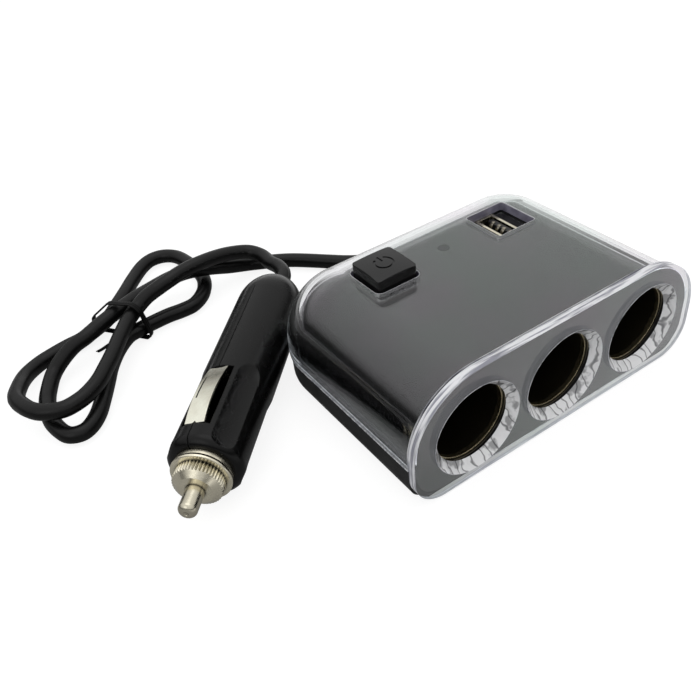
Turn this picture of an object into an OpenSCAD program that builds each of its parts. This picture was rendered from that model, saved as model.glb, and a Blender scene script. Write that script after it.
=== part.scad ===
// Car power socket splitter: a clear-covered housing with three round sockets, a power
// button, a lamp and a USB port, and a vehicle plug on a tied cord.
// Millimetres. +Z is up, the sockets face -Y, and the housing stands on its flat base.

/* [Sockets] */
// inner radius of the metal socket
can_r = 10.65; // [10.5:0.05:10.75]
// thickness of the metal socket
can_wall = 0.5; // [0.4:0.1:0.6]
// length of the metal socket
can_len = 25; // [22:0.5:26]
// how far the metal socket stands behind the front plate
can_set_back = 1.4; // [1.3:0.1:1.8]
// thickness of the black liner round a socket
liner_wall = 1.2; // [1:0.1:1.4]
// clear space between neighbouring liners
liner_space = 3.2; // [2.8:0.1:3.6]
// widening of the clear funnel towards its mouth
funnel_spread = 2.1; // [1.8:0.1:2.3]
// thickness of the insulating cup's floor
cup_floor = 2.4; // [2:0.1:2.6]
// thickness of the insulating cup's rim
cup_rim = 2.5; // [2:0.1:2.7]
// radius of the centre contact's foot
contact_foot_r = 3.6; // [3:0.1:5]
// height of the centre contact's dome
contact_dome = 3.2; // [2.5:0.1:3.4]

/* [Housing] */
// thickness of the clear cover
cover_wall = 2.4; // [2:0.1:2.6]
// thickness of the dark inner housing
inner_wall = 1.5; // [1.2:0.1:1.6]
// how far the rounded corner's centre lies inside the outer socket's
corner_in = 0.8; // [0.6:0.1:1]
// how far the rounded corner's centre lies below the outer socket's
corner_down = 1.9; // [1.6:0.1:2]
// clear space behind the circuit board
rear_room = 14.5; // [13:0.5:16]
// height of the line where cover and base meet
parting_z = 10.7; // [10.5:0.1:11.5]
// how far the base's side stands inside the cover's
base_step = 0.4; // [0.2:0.1:0.6]
// radius of the base's bottom edge
base_edge_r = 5; // [4:0.1:5.5]
// thickness of the base's floor
base_floor = 3; // [2.6:0.1:3.2]

/* [Front] */
// how far the clear front plate stands proud of the cover's sides
plate_side = 0.6; // [0.4:0.1:0.8]
// how far the front plate stands proud of the cover's top
plate_rise = 1; // [0.8:0.1:1.2]
// underside of the front plate above the ground
plate_low_z = 0.6; // [0.4:0.1:1]
// thickness of the front plate
plate_t = 2.4; // [2:0.1:2.6]
// corner radius at the front plate's bottom
plate_low_r = 8.8; // [8:0.1:10]
// thickness of the black panel behind the front plate
panel_t = 1.2; // [1:0.1:1.4]
// how far the panel stands inside the plate's outline
panel_inset = 1.4; // [1.2:0.1:1.6]

/* [Button and lamp] */
// width of the power button
button_w = 12.4; // [11:0.1:12.5]
// depth of the power button
button_d = 12.2; // [11:0.1:12.2]
// height of the power button above the cover
button_rise = 3.5; // [3:0.1:4.5]
// distance of the power button to the left of the middle
button_left = 20.5; // [20:0.1:22]
// clear space round the power button in the cover
button_window = 0.9; // [0.8:0.1:1.2]
// travel of the power button
button_travel = 1.8; // [1.2:0.1:1.8]
// radius of the indicator lamp
lamp_r = 1.5; // [1.2:0.1:1.8]
// distance of the indicator lamp behind the liners
lamp_behind = 8.6; // [7:0.1:10]

/* [USB port] */
// width of the port's metal shell
port_w = 5.7; // [5.6:0.1:5.8]
// length of the port's metal shell
port_len = 13.1; // [13:0.1:13.2]
// width of the recess in the clear cover
recess_w = 14; // [13.5:0.1:14.2]
// distance of the recess to the right of the middle
recess_right = 20; // [19.4:0.1:20.2]

/* [Plug] */
// radius of the plug's barrel
barrel_r = 9.85; // [9.6:0.05:9.9]
// length of the barrel from the dome to its front face
barrel_len = 63.4; // [63:0.1:65]
// length of the dome at the cord end
dome_len = 14.3; // [13:0.1:15]
// radius of the rounding round the barrel's front face
shoulder_fillet = 2.4; // [2:0.1:2.4]
// thickness of the barrel's wall
barrel_wall = 2; // [1.8:0.1:2]
// width of the side contacts' windows
window_w = 8.2; // [8:0.1:8.6]
// length of the side contacts' windows
window_len = 20.9; // [20.6:0.1:21.2]
// width of the side contacts
side_contact_w = 5.4; // [5:0.1:6.8]
// turn of the plug about its own axis as it lies
plug_roll = 15; // [14:0.5:16]
// radius of the metal nut's flange
nut_flange_r = 7.7; // [7.6:0.05:7.9]
// radius over the metal nut's grooves
nut_r = 6.3; // [6:0.05:6.5]
// number of grooves round the metal nut
nut_grooves = 44; // [36:1:48]
// radius of the centre pin
pin_r = 2.35; // [2.2:0.05:2.4]
// length of the centre pin in front of the nut
pin_proud = 6.8; // [6:0.1:7]
// travel of the centre pin
pin_travel = 2.5; // [2:0.1:2.5]

/* [Cord] */
// diameter of the round cord
cord_d = 4.8; // [4.6:0.1:4.9]
// length of the cord's sleeve behind the housing
sleeve_len = 12; // [11:0.1:12.5]

/* [Hidden] */

$fn = 48;
overrun = 1;
face_gap = 0.3;
slide_gap = 0.3;
run_gap = 0.05;
stem_gap = 0.1;

// sockets, derived from the metal tube outwards
liner_bore_r = can_r + can_wall + slide_gap / 2;
liner_r = liner_bore_r + liner_wall;
liner_end_t = 1.2;
socket_pitch = 2 * liner_r + liner_space;
socket_z = base_floor + face_gap + liner_r;
side_marks = [-1, 0, 1];
funnel_step = 0.15;
funnel_root_r = can_r + funnel_step;
funnel_r = funnel_root_r + funnel_spread;
funnel_slope = funnel_spread / plate_t;
contact_stem_r = 1.4;
contact_foot_t = 1;
cup_r = can_r + can_wall;
cup_recess_depth = contact_foot_t + contact_dome + slide_gap;

// housing, round the sockets
corner_clear = 0.24;
inner_corner_r = liner_r + norm([corner_in, corner_down]) + corner_clear;
inner_r = inner_corner_r + inner_wall;
cover_r = inner_r + face_gap + cover_wall;
cover_half_w = socket_pitch - corner_in + cover_r;
cover_top_z = socket_z - corner_down + cover_r;
inner_half_w = cover_half_w - cover_wall - face_gap;
inner_top_z = cover_top_z - cover_wall - face_gap;
roof_z = inner_top_z - inner_wall;
base_half_w = cover_half_w - base_step;
base_r = cover_r - base_step;
base_side_gap = 0.8;
base_wall = base_half_w - socket_pitch - liner_r - base_side_gap;

// the board's depth, and what stands on it
board_gap = 1;
board_d = 17.3;
board_past = 3.8;
board_half_w = socket_pitch + board_past;
board_drop = 14.7;
board_low_z = roof_z - board_drop;
board_t = 1.6;
board_top_z = board_low_z + board_t;
board_post_r = 2.2;
board_post_in = 3;
board_post_x = board_half_w - board_post_in;
switch_w = 11;
switch_h = 7;
stem_r = 2.5;
stem_reach = 3;
button_corner_r = 1.1;
button_edge_r = 0.9;
button_dome_r = 55;
button_flange = 0.8;
button_front_gap = 0.9;
button_flange_t = 1.2;
mark_r = 2.5;
mark_line = 0.6;
mark_depth = 0.3;
mark_gap_deg = 30;
mark_bar_share = 0.25;
diode_r = 1.9;
diode_h = 4;
pipe_gap = 0.2;
port_wall = 0.4;
port_flare = 0.45;
port_flare_t = 0.4;
port_end_gap = 0.4;
pocket_depth = 0.5;
pocket_z = inner_top_z - pocket_depth;
port_top_z = pocket_z + run_gap + port_flare_t;
recess_d = port_len + 2 * port_end_gap;
recess_front_gap = 1.05;
recess_corner_r = 1;
tongue_t = 1.8;
tongue_len = 10.5;
tongue_base_t = 2.5;

// places along the housing's depth, with the origin halfway
depth = plate_t + can_set_back + can_len + face_gap + cup_recess_depth + cup_floor + liner_end_t
    + board_gap + board_d + rear_room;
cover_rear_y = depth / 2;
plate_front_y = -cover_rear_y;
plate_rear_y = plate_front_y + plate_t;
body_front_y = plate_rear_y + panel_t;
inner_rear_y = cover_rear_y - cover_wall - face_gap;
base_rear_y = cover_rear_y - base_step;
can_front_y = plate_rear_y + can_set_back;
can_rear_y = can_front_y + can_len;
cup_front_y = can_rear_y + face_gap;
cup_recess_y = cup_front_y + cup_recess_depth;
cup_rear_y = cup_recess_y + cup_floor;
liner_rear_y = cup_rear_y + liner_end_t;
board_front_y = liner_rear_y + board_gap;
board_rear_y = board_front_y + board_d;
board_post_ys = [board_front_y + board_post_r + board_gap, board_rear_y - board_post_in];
button_y = liner_rear_y + button_front_gap + button_flange + button_d / 2;
lamp_y = liner_rear_y + lamp_behind;
recess_y = liner_rear_y + recess_front_gap + recess_d / 2;

// the front plate, round the cover
plate_half_w = cover_half_w + plate_side;
plate_top_z = cover_top_z + plate_rise;
plate_top_r = cover_r + plate_side / 2;

// screws under the base
screw_post_r = 4.2;
screw_post_gap = 2.6;
screw_side_in = 9.4;
screw_rear_in = 8;
screw_rear_gap = 4.5;
screw_front = [cover_half_w - screw_side_in, liner_rear_y + screw_post_gap + screw_post_r];
screw_rear = [board_half_w - screw_rear_in, board_rear_y + screw_rear_gap];
screw_spots = [[-screw_front.x, screw_front.y], screw_front, [-screw_rear.x, screw_rear.y], screw_rear];
screw_well_r = 2.9;
screw_well_depth = 5;
screw_post_drop = 1.7;
screw_post_top_z = parting_z - screw_post_drop;
screw_head_r = 2.6;
screw_head_t = 1.8;
screw_shank_r = 1.2;
screw_len = 9;
screw_slot_w = 0.7;
boss_r = 3;
boss_sink = 0.8;

// sleeve where the cord leaves the housing
cord_r = cord_d / 2;
cord_fit = 0.1;
sleeve_x = 22;
sleeve_z = 6;
sleeve_root_t = 1.2;
sleeve_tip_t = 0.7;
sleeve_flange_rise = 2;
sleeve_root_r = cord_r + sleeve_root_t;
sleeve_tip_r = cord_r + sleeve_tip_t;
sleeve_flange_r = cord_r + sleeve_flange_rise;
sleeve_flange_t = 1.5;
sleeve_ribs = 4;
sleeve_rib_w = 1;
sleeve_rib_depth = 0.25;

// plug, lying on the ground: its own frame has +X towards the nose, and X = 0 at the windows' rear
plug_x = -64.2;
plug_y = 19.9;
plug_heading = -134.24;
barrel_front = 27;
barrel_rear = barrel_front - barrel_len;
dome_rear = barrel_rear - dome_len;
dome_tip_r = 7.2;
dome_tip_reach = dome_len - dome_tip_r;
dome_side_r = (barrel_r * barrel_r + dome_tip_reach * dome_tip_reach - dome_tip_r * dome_tip_r)
    / (2 * (barrel_r - dome_tip_r));
front_wall = 2.2;
cavity_r = barrel_r - barrel_wall;
spring_wall_front = -5.6;
spring_wall_t = 1.6;
cavity_rear = -28;
wire_hole_r = 1.5;
contact_crest = 1;
contact_sag = 1.25;
contact_t = 0.7;
contact_leg_w = 3.6;
contact_leg_low = 6.6;
contact_lip_t = 0.7;
contact_lip = 1.4;
contact_slot_w = 0.4;
contact_slot_len = 8;
contact_slot_side = 1.75;
contact_slot_rear = 4.7;
contact_notch = 0.8;
under_pressed = 1.55;
flute_r = 9;
flute_depth = 1.1;
flute_turn = 50.5;
flute_rear = 2;
seam_w = 0.3;
seam_depth = 0.3;
flute_front = 22.8;
nut_collar_r = 7.4;
nut_thread_r = 5.6;
nut_thread_len = 4;
nut_collar_len = 1.2;
nut_neck_r = 6.9;
nut_neck_len = 0.4;
nut_flange_len = 0.85;
nut_knurl_len = 4;
nut_lip_t = 1.5;
nut_edge = 0.4;
nut_groove_r = 0.38;
nut_taper_len = 1.4;
nut_tip_r = 4.4;
nut_bore_r = 3.6;
nut_rear = barrel_front + run_gap;
nut_neck_at = nut_rear + nut_collar_len;
nut_flange_at = nut_neck_at + nut_neck_len;
nut_knurl_at = nut_flange_at + nut_flange_len;
nut_front = nut_knurl_at + nut_knurl_len;
pin_flange_r = 3.3;
pin_flange_t = 1.2;
pin_tail_r = 2;
pin_tail_len = 1.3;
pin_tip_r = 1.4;
pin_dimple_r = 0.9;
pin_dimple_depth = 0.35;
pin_flange_front = nut_front - nut_lip_t - slide_gap;
pin_flange_rear = pin_flange_front - pin_flange_t;
fuse_r = 3.15;
fuse_len = 26;
fuse_cap_len = 5.5;
fuse_glass_r = 2.9;
fuse_front = pin_flange_rear - pin_tail_len;
spring_r = 2.5;
spring_wire_r = 0.35;
spring_turns = 4;
fuse_rear = fuse_front - fuse_len;
spring_len = fuse_rear - spring_wall_front - pin_travel - slide_gap - 2 * spring_wire_r;
spring_steps = 10;
wire_sides = 6;

// cord routes, in the part's frame
cord_sides = 10;
cord_steps = 3;
lay_gap = 0.1;
z_rest = cord_r + lay_gap;
near_end = 6;
supply_route = [[sleeve_x, base_rear_y + sleeve_len, sleeve_z], [22, 52, 5.6], [18.5, 58, 4],
    [12, 61.5, 2.8], [3, 63, z_rest], [-4, 66.5, z_rest], [-9, 71.5, z_rest], [-14, 76.5, z_rest],
    [-19.5, 80.5, z_rest], [-25.5, 84, 2.6],
    [-33, 84.5, 4.6], [-40, 84, 7.4], [-45.5, 85.5, 8], [-49.5, 87, 7.7], [-54.5, 88, 7],
    [-61, 86.5, 7.1], [-66.5, 84, 7.9], [-71.5, 81.5, 8.4]];
coil_route = [[-71.5, 81.5, 8.4], [-76, 79.5, 8.5], [-81.5, 77, 8.4], [-86.5, 74.5, 8.2], [-91, 74, 7.2],
    [-95.5, 73, 5.2], [-99.5, 71, 3.2], [-102.5, 66.5, z_rest], [-105, 60.5, z_rest],
    [-106.5, 53, z_rest], [-106, 47, z_rest], [-104.5, 43, z_rest], [-101.5, 41.5, z_rest],
    [-98.5, 42.5, z_rest], [-95, 46, z_rest], [-91.5, 51.5, z_rest], [-88, 57.5, z_rest],
    [-84.5, 63.5, 2.6], [-80, 69, 2.9], [-75, 73, 3.1], [-70.5, 74, 3.1], [-66, 75, 2.7],
    [-60.5, 75.5, z_rest], [-55.5, 75, z_rest], [-51, 75.5, z_rest], [-46, 79.5, z_rest],
    [-42.5, 86, z_rest], [-41.5, 93.5, z_rest], [-42, 101, z_rest], [-43.5, 107, z_rest],
    [-47, 110.5, z_rest], [-51.5, 111, z_rest], [-56, 108.5, z_rest], [-61.5, 103, 2.6], [-66.5, 97, 3],
    [-71.5, 91.5, 3.2], [-76.5, 86.5, 3.2], [-82, 84, 2.8], [-87, 82.5, z_rest], [-91.5, 82, z_rest],
    [-96.5, 81, z_rest], [-101.5, 79.5, z_rest], [-106.5, 75, 3.6], [-110, 68, 5.6], [-112, 61, 7.4],
    [-111, 55, 8], [-109, 51, 8.1], [-106, 48.5, 8.1], [-102.5, 47, 8.1], [-98.5, 47.5, 8.1],
    [-95, 49, 8.1], [-91, 52, 8.1], [-87, 56.5, 8.1], [-83.5, 60.5, 8.3], [-80, 65, 8.5]];
plug_end_route = [[-80, 65, 8.5], [-76.5, 69.5, 8.5], [-73, 73.5, 8.7], [-69, 76, 9.6], [-65, 77, 11.2],
    [-60.5, 77, 12.6], [-56, 77.5, 13.4], [-50.5, 79, 13.5], [-44.5, 80, 13.2], [-38, 81.5, 12],
    [-32, 82.5, 10.4], [-26.5, 81.5, 9], [-24, 77.5, 8.4], [-24, 71, 8.6], [-23.8, 65.5, 9.4],
    [-25.5, 59.6, 9.85], [-31.5, 53.4, 9.85]];
supply_path = smooth(supply_route, cord_steps);
loops_path = smooth(coil_route, cord_steps);
plug_end_path = smooth(plug_end_route, cord_steps);
coil_lead = unit(coil_route[1] - supply_route[len(supply_route) - 2]);
plug_end_lead = unit(plug_end_route[1] - coil_route[len(coil_route) - 2]);
plug_lead = [cos(plug_heading), sin(plug_heading), 0];
tie_x = -74.5;
tie_y = 79.5;
tie_heading = 34.8;
tie_spots = [[0.9, 8.55], [-5.85, 9.35], [-7.35, 3.05], [7.45, 3.05]];
tie_w = 2.4;
tie_t = 0.5;
tie_low_z = 0.1;
tie_tails = [[0.4, 0, 12.5], [2.6, -9, 10]];
tie_sides = 32;

// least distance between two paths' surfaces, leaving out the points near a shared end
function least_gap(a, b, skip) =
    min([for (i = [0:len(a) - 1], j = [0:len(b) - 1]) if (i + j >= skip) norm(a[i] - b[j])]) - cord_d;
function least_own_gap(a, skip) =
    min([for (i = [0:len(a) - 1 - skip], j = [i + skip:len(a) - 1]) norm(a[i] - a[j])]) - cord_d;
function backwards(a) = [for (i = [len(a) - 1:-1:0]) a[i]];
function path_len(a, i = 0) = i + 1 < len(a) ? norm(a[i + 1] - a[i]) + path_len(a, i + 1) : 0;

// the spring that pushes the fuse, in the plug's frame
function coil_point(i) = [
    i / (spring_turns * spring_steps) * spring_len,
    spring_r * cos(i * 360 / spring_steps),
    spring_r * sin(i * 360 / spring_steps)];
function coil_path() = [for (i = [0:spring_turns * spring_steps]) coil_point(i)];

// a smooth path through route points
function pick(list, i) =
    i < 0 ? 2 * list[0] - list[1]
    : i >= len(list) ? 2 * list[len(list) - 1] - list[len(list) - 2]
    : list[i];
function bent(a, b, c, d, t) =
    (2 * b + (c - a) * t + (2 * a - 5 * b + 4 * c - d) * t * t + (3 * b - a - 3 * c + d) * t * t * t) / 2;
function smooth(list, steps) = concat(
    [for (i = [0:len(list) - 2], k = [0:steps - 1])
        bent(pick(list, i - 1), pick(list, i), pick(list, i + 1), pick(list, i + 2), k / steps)],
    [list[len(list) - 1]]);
function unit(v) = v / norm(v);
function along(path, i) =
    i == 0 ? unit(path[1] - path[0])
    : i == len(path) - 1 ? unit(path[i] - path[i - 1])
    : unit(path[i + 1] - path[i - 1]);
function facing(path, i, ends) =
    len(ends) > 0 && i == 0 ? ends[0]
    : len(ends) > 0 && i == len(path) - 1 ? ends[1]
    : along(path, i);
function ring(centre, t, r, sides, up) =
    let (a = unit(cross(t, up)), b = cross(a, t))
    [for (k = [0:sides - 1]) centre + r * (cos(k * 360 / sides) * a + sin(k * 360 / sides) * b)];

// a round tube along a path; ends holds the directions of its two end faces
module tube(path, r, sides, ends = [], up = [0, 0, 1]) {
    rings = len(path);
    points = [for (i = [0:rings - 1], p = ring(path[i], facing(path, i, ends), r, sides, up)) p];
    last = (rings - 1) * sides;
    walls = [for (i = [0:rings - 2], k = [0:sides - 1], half = [0, 1])
        let (a = i * sides + k, b = i * sides + (k + 1) % sides)
        half == 0 ? [a, b, b + sides] : [a, b + sides, a + sides]];
    caps = [for (k = [1:sides - 2], side = [0, 1])
        side == 0 ? [0, k + 1, k] : [last, last + k, last + k + 1]];
    polyhedron(points = points, faces = concat(walls, caps), convexity = 10);
}

// outline of an edge: a block from the corner's axis out to width
module edge_profile(width, low, high, low_r, high_r) {
    difference() {
        translate([0, low]) square([width, high - low]);
        if (high_r > 0)
            translate([width - high_r, high - high_r])
                difference() {
                    square(high_r + overrun);
                    circle(high_r);
                }
        if (low_r > 0)
            translate([width - low_r, low + low_r])
                difference() {
                    mirror([0, 1]) square(low_r + overrun);
                    circle(low_r);
                }
    }
}

// a block that is flat in front, with rounded rear corners and rounded edges
module housing_block(half_w, front_y, rear_y, low, high, plan_r, low_r, high_r) {
    for (side = [0, 1])
        mirror([side, 0, 0]) {
            translate([0, rear_y - plan_r, 0]) rotate([90, 0, 0])
                linear_extrude(rear_y - plan_r - front_y)
                    edge_profile(half_w, low, high, low_r, high_r);
            translate([half_w - plan_r, rear_y - plan_r, 0])
                rotate_extrude(angle = 90) edge_profile(plan_r, low, high, low_r, high_r);
        }
    translate([half_w - plan_r, rear_y - plan_r, 0]) rotate([90, 0, -90])
        linear_extrude(2 * (half_w - plan_r))
            mirror([1, 0]) edge_profile(plan_r, low, high, low_r, high_r);
}

module at_sockets(mark) {
    translate([mark * socket_pitch, 0, socket_z]) children();
}

// a round piece lying along +Y from the given place
module along_y(from_y) {
    translate([0, from_y, 0]) rotate([-90, 0, 0]) children();
}

module soft_square(w, d, r) {
    for (x = [-1, 1], y = [-1, 1]) translate([x * (w / 2 - r), y * (d / 2 - r)]) circle(r);
    square([w - 2 * r, d], center = true);
    square([w, d - 2 * r], center = true);
}

module plate_outline(inset) {
    half_w = plate_half_w - inset;
    low = plate_low_z + inset;
    high = plate_top_z - inset;
    for (side = [0, 1])
        mirror([side, 0]) edge_profile(half_w, low, high, plate_low_r - inset, plate_top_r - inset);
}

// the housing's lower tray, with posts for the board and the screws
module base_shell() {
    color([0.05, 0.05, 0.055])
        difference() {
            union() {
                difference() {
                    housing_block(base_half_w, body_front_y, base_rear_y, 0, parting_z,
                        base_r, base_edge_r, 0);
                    translate([0, -overrun, 0])
                        housing_block(base_half_w - base_wall, body_front_y,
                            base_rear_y - base_wall + overrun, base_floor, parting_z + overrun,
                            base_r - base_wall, 0, 0);
                }
                for (x = side_marks, y = board_post_ys)
                    if (x != 0)
                        translate([x * board_post_x, y, base_floor - face_gap])
                            cylinder(r = board_post_r, h = board_low_z - base_floor + face_gap);
                for (p = screw_spots)
                    translate([p.x, p.y, base_floor - face_gap])
                        cylinder(r = screw_post_r, h = screw_post_top_z - base_floor + face_gap);
            }
            for (p = screw_spots) {
                translate([p.x, p.y, -overrun]) cylinder(r = screw_well_r, h = screw_well_depth + overrun);
                translate([p.x, p.y, 0])
                    cylinder(r = screw_shank_r + face_gap, h = screw_post_top_z + overrun);
            }
            translate([sleeve_x, 0, sleeve_z]) along_y(base_rear_y - base_wall - overrun)
                cylinder(r = sleeve_root_r + cord_fit, h = base_wall + 2 * overrun);
        }
}

// the dark inner housing that shows through the clear cover
module inner_shell() {
    color([0.06, 0.06, 0.065])
        difference() {
            union() {
                difference() {
                    housing_block(inner_half_w, body_front_y, inner_rear_y, parting_z, inner_top_z,
                        inner_r, 0, inner_r);
                    translate([0, -overrun, -overrun])
                        housing_block(inner_half_w - inner_wall, body_front_y,
                            inner_rear_y - inner_wall + overrun, parting_z, roof_z + overrun,
                            inner_corner_r, 0, inner_corner_r);
                }
                intersection() {
                    for (p = screw_spots)
                        translate([p.x, p.y, screw_post_top_z])
                            cylinder(r = boss_r, h = inner_top_z - screw_post_top_z);
                    housing_block(inner_half_w - boss_sink, body_front_y, inner_rear_y - boss_sink,
                        0, inner_top_z - boss_sink, inner_r - boss_sink, 0, inner_r - boss_sink);
                }
            }
            for (p = screw_spots)
                translate([p.x, p.y, screw_post_top_z - overrun])
                    cylinder(r = screw_shank_r + run_gap, h = screw_len);
            translate([-button_left, button_y, roof_z - overrun])
                linear_extrude(2 * overrun + inner_wall)
                    soft_square(button_w + 2 * slide_gap, button_d + 2 * slide_gap,
                        button_corner_r + slide_gap);
            translate([0, lamp_y, roof_z - overrun])
                cylinder(r = lamp_r + pipe_gap, h = inner_wall + 2 * overrun);
            translate([recess_right, recess_y, pocket_z])
                linear_extrude(pocket_depth + overrun) square([recess_w, recess_d], center = true);
            translate([recess_right, recess_y, roof_z - overrun])
                linear_extrude(inner_wall + 2 * overrun)
                    square([port_w + 2 * pipe_gap, port_len + 2 * pipe_gap], center = true);
        }
}

// the clear cover
module clear_cover() {
    color([0.85, 0.88, 0.9, 0.35])
        difference() {
            housing_block(cover_half_w, body_front_y, cover_rear_y, parting_z, cover_top_z,
                cover_r, 0, cover_r);
            translate([0, -overrun, -overrun])
                housing_block(cover_half_w - cover_wall, body_front_y, cover_rear_y - cover_wall + overrun,
                    parting_z, cover_top_z - cover_wall + overrun, cover_r - cover_wall, 0,
                    cover_r - cover_wall);
            translate([-button_left, button_y, cover_top_z - cover_wall - overrun])
                linear_extrude(cover_wall + 2 * overrun)
                    soft_square(button_w + 2 * button_window, button_d + 2 * button_window,
                        button_corner_r + button_window);
            translate([recess_right, recess_y, cover_top_z - cover_wall - overrun])
                linear_extrude(cover_wall + 2 * overrun) soft_square(recess_w, recess_d, recess_corner_r);
        }
}

// the clear front plate with its three funnels
module front_plate() {
    color([0.85, 0.88, 0.9, 0.35])
        difference() {
            along_y(plate_front_y) linear_extrude(plate_t) mirror([0, 1]) plate_outline(0);
            for (m = side_marks)
                at_sockets(m) along_y(plate_front_y - overrun)
                    cylinder(r1 = funnel_r + funnel_slope * overrun,
                        r2 = funnel_root_r - funnel_slope * overrun, h = plate_t + 2 * overrun);
        }
}

// the black panel behind the front plate
module front_panel() {
    color([0.03, 0.03, 0.035])
        difference() {
            along_y(plate_rear_y + run_gap)
                linear_extrude(panel_t - run_gap) mirror([0, 1]) plate_outline(panel_inset);
            for (m = side_marks)
                at_sockets(m) along_y(plate_rear_y - overrun)
                    cylinder(r = liner_bore_r, h = panel_t + 2 * overrun);
        }
}

// the black tube round a metal socket
module liner(mark) {
    color([0.04, 0.04, 0.045])
        at_sockets(mark)
            difference() {
                along_y(body_front_y) cylinder(r = liner_r, h = liner_rear_y - body_front_y);
                along_y(body_front_y - overrun)
                    cylinder(r = liner_bore_r, h = liner_rear_y - liner_end_t - body_front_y + overrun);
                along_y(liner_rear_y - liner_end_t - overrun)
                    cylinder(r = contact_stem_r + stem_gap, h = liner_end_t + 2 * overrun);
            }
}

// the metal tube that a plug goes into
module can(mark) {
    color([0.78, 0.7, 0.5])
        at_sockets(mark)
            difference() {
                along_y(can_front_y) cylinder(r = can_r + can_wall, h = can_len);
                along_y(can_front_y - overrun) cylinder(r = can_r, h = can_len + 2 * overrun);
            }
}

// the insulating cup at the end of a socket
module disc(mark) {
    color([0.1, 0.1, 0.1])
        at_sockets(mark)
            difference() {
                along_y(cup_front_y) cylinder(r = cup_r, h = cup_rear_y - cup_front_y);
                along_y(cup_front_y - overrun) cylinder(r = cup_r - cup_rim, h = cup_recess_depth + overrun);
                along_y(cup_recess_y - overrun)
                    cylinder(r = contact_stem_r + stem_gap, h = cup_floor + 2 * overrun);
            }
}

// the domed centre contact, sunk in the cup
module contact(mark) {
    ball_r = (contact_foot_r * contact_foot_r + contact_dome * contact_dome) / (2 * contact_dome);
    foot_y = cup_recess_y - contact_foot_t;
    color([0.8, 0.66, 0.35])
        at_sockets(mark) {
            along_y(foot_y) cylinder(r = contact_foot_r, h = contact_foot_t);
            along_y(foot_y)
                difference() {
                    translate([0, 0, ball_r - contact_dome]) sphere(ball_r);
                    translate([0, 0, ball_r]) cube(2 * ball_r, center = true);
                }
            along_y(foot_y) cylinder(r = contact_stem_r, h = liner_rear_y - foot_y);
        }
}

// the circuit board across the rear of the housing
module circuit_board() {
    color([0.05, 0.3, 0.12])
        translate([-board_half_w, board_front_y, board_low_z])
            cube([2 * board_half_w, board_rear_y - board_front_y, board_t]);
}

// the push switch on the board, with a well for the button's stem
module switch_body() {
    color([0.12, 0.12, 0.12])
        translate([-button_left, button_y, board_top_z])
            difference() {
                translate([-switch_w / 2, -switch_w / 2, 0]) cube([switch_w, switch_w, switch_h]);
                translate([0, 0, switch_h - stem_reach - button_travel - slide_gap])
                    cylinder(r = stem_r + slide_gap, h = switch_h);
            }
}

// the button's outline from one side, rounded at the upper edge
module button_profile(w, d, top_z) {
    rotate([90, 0, 0])
        linear_extrude(d + 2 * overrun, center = true)
            edge_profile(w / 2, 0, top_z, 0, button_edge_r);
}

// the power button, with the usual mark on its domed top
module power_button() {
    top_z = cover_top_z + button_rise;
    flange_top_z = roof_z - slide_gap;
    flange_low_z = flange_top_z - button_flange_t;
    color([0.09, 0.09, 0.09])
        translate([-button_left, button_y, 0])
            difference() {
                union() {
                    intersection() {
                        translate([0, 0, flange_low_z])
                            linear_extrude(top_z - flange_low_z)
                                soft_square(button_w, button_d, button_corner_r);
                        for (side = [0, 1]) mirror([side, 0, 0]) button_profile(button_w, button_d, top_z);
                        rotate([0, 0, 90])
                            for (side = [0, 1])
                                mirror([side, 0, 0]) button_profile(button_d, button_w, top_z);
                        translate([0, 0, top_z - button_dome_r]) sphere(button_dome_r);
                    }
                    translate([0, 0, flange_low_z])
                        linear_extrude(button_flange_t)
                            square([button_w + 2 * button_flange, button_d + 2 * button_flange],
                                center = true);
                    translate([0, 0, board_top_z + switch_h - stem_reach])
                        cylinder(r = stem_r,
                            h = flange_low_z - board_top_z - switch_h + stem_reach + run_gap);
                }
                translate([0, 0, top_z - mark_depth])
                    rotate([0, 0, 90 + mark_gap_deg])
                        rotate_extrude(angle = 360 - 2 * mark_gap_deg)
                            translate([mark_r - mark_line / 2, 0]) square([mark_line, overrun]);
                translate([-mark_line / 2, mark_r * mark_bar_share, top_z - mark_depth])
                    cube([mark_line, mark_r, overrun]);
            }
}

// the round lamp window under the clear cover
module lamp_pipe() {
    color([0.9, 0.92, 0.95, 0.5])
        translate([0, lamp_y, board_top_z + diode_h])
            cylinder(r = lamp_r, h = inner_top_z - board_top_z - diode_h);
}

// the light source on the board
module lamp_diode() {
    color([0.2, 0.45, 0.9, 0.6])
        translate([0, lamp_y, board_top_z]) cylinder(r = diode_r, h = diode_h);
}

// the metal shell of the USB port, with its flared mouth
module usb_shell() {
    color([0.75, 0.75, 0.74])
        translate([recess_right, recess_y, board_top_z])
            difference() {
                union() {
                    linear_extrude(port_top_z - board_top_z) square([port_w, port_len], center = true);
                    translate([0, 0, port_top_z - board_top_z - port_flare_t])
                        linear_extrude(port_flare_t)
                            square([port_w + 2 * port_flare, recess_d - pipe_gap], center = true);
                }
                translate([0, 0, tongue_base_t])
                    linear_extrude(port_top_z)
                        square([port_w - 2 * port_wall, port_len - 2 * port_wall], center = true);
            }
}

// the insulating tongue inside the USB port
module usb_tongue() {
    foot_z = board_top_z + tongue_base_t;
    color([0.93, 0.93, 0.92])
        translate([recess_right + port_w / 2 - 2 * port_wall - tongue_t, recess_y - tongue_len / 2, foot_z])
            cube([tongue_t, tongue_len, port_top_z - foot_z - port_wall]);
}

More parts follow.
